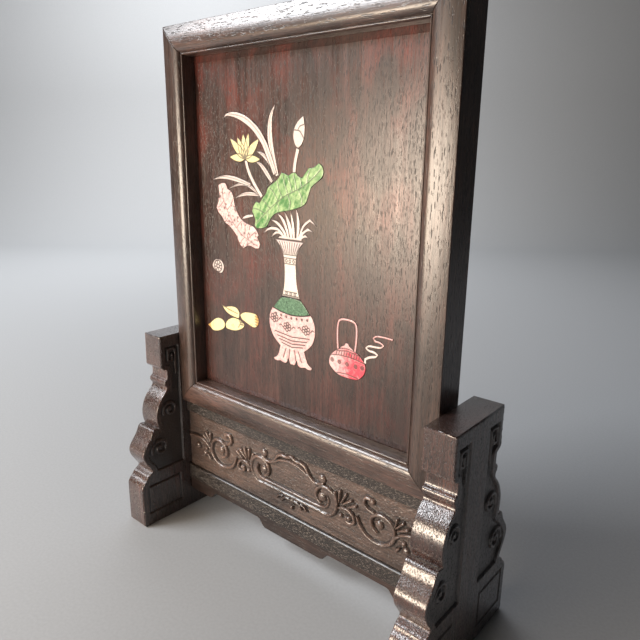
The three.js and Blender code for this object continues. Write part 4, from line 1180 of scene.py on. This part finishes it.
class TABLE_SCREEN_OT_inlay(bpy.types.Operator):
    """Makes the pieces of shell"""
    bl_idname = "table_screen.inlay"
    bl_label = "Shell inlay"

    def execute(self, context):
        for node in sorted(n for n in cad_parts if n.startswith("inlay_")):
            make_inlay_piece(node)
        return {"FINISHED"}


class TABLE_SCREEN_OT_feet(bpy.types.Operator):
    """Makes the two carved feet"""
    bl_idname = "table_screen.feet"
    bl_label = "Carved feet"

    def execute(self, context):
        make_foot("carved_foot_left", "foot_left")
        make_foot("carved_foot_right", "foot_right")
        return {"FINISHED"}


class TABLE_SCREEN_OT_rails(bpy.types.Operator):
    """Makes the rails and the apron between the feet"""
    bl_idname = "table_screen.rails"
    bl_label = "Rails and apron"

    def execute(self, context):
        rounding = context.scene.table_screen.rail_rounding
        for node in ("rail_upper", "rail_lower"):
            piece = eased_copy(node, node + "_eased", rounding)
            finish_piece(piece, "rail rosewood", "rail_wood", node)
        piece = eased_copy("apron", "apron_eased", rounding)
        finish_piece(piece, "apron rosewood", "rosewood", "apron")
        return {"FINISHED"}


class TABLE_SCREEN_OT_board(bpy.types.Operator):
    """Makes the carved board"""
    bl_idname = "table_screen.board"
    bl_label = "Carved board"

    def execute(self, context):
        make_carved_board()
        return {"FINISHED"}


class TABLE_SCREEN_OT_stage(bpy.types.Operator):
    """Sets the backdrop, the lights and the camera"""
    bl_idname = "table_screen.stage"
    bl_label = "Stage"

    def execute(self, context):
        settings = context.scene.table_screen
        make_backdrop()
        make_world("#dfe3e8", settings.room_light)
        context.scene.view_settings.view_transform = "Standard"
        for name, (place, target, size, power, colour) in LIGHTS.items():
            make_light(name, place, target, size, getattr(settings, power), colour)
        make_camera()
        return {"FINISHED"}


class TABLE_SCREEN_PT_panel(bpy.types.Panel):
    bl_label = "Table screen"
    bl_space_type = "VIEW_3D"
    bl_region_type = "UI"
    bl_category = "Table screen"

    def draw(self, context):
        for name in TableScreenSettings.__annotations__:
            self.layout.prop(context.scene.table_screen, name)
        for operator in OPERATORS:
            self.layout.operator(operator.bl_idname)


OPERATORS = (
    TABLE_SCREEN_OT_frame,
    TABLE_SCREEN_OT_panel,
    TABLE_SCREEN_OT_inlay,
    TABLE_SCREEN_OT_feet,
    TABLE_SCREEN_OT_rails,
    TABLE_SCREEN_OT_board,
    TABLE_SCREEN_OT_stage,
)
CLASSES = (TableScreenSettings, *OPERATORS, TABLE_SCREEN_PT_panel)


def register():
    for made in CLASSES:
        bpy.utils.register_class(made)
    bpy.types.Scene.table_screen = PointerProperty(type=TableScreenSettings)


def unregister():
    del bpy.types.Scene.table_screen
    for made in reversed(CLASSES):
        bpy.utils.unregister_class(made)


def main():
    register()
    bpy.ops.table_screen.frame()
    bpy.ops.table_screen.panel()
    bpy.ops.table_screen.inlay()
    bpy.ops.table_screen.feet()
    bpy.ops.table_screen.rails()
    bpy.ops.table_screen.board()
    bpy.ops.table_screen.stage()
    boxes = {"cad": cad_bounds, "visual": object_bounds()}
    {name: [list(corner) for corner in box] for name, box in boxes.items()}


if __name__ == "__main__":
    main()
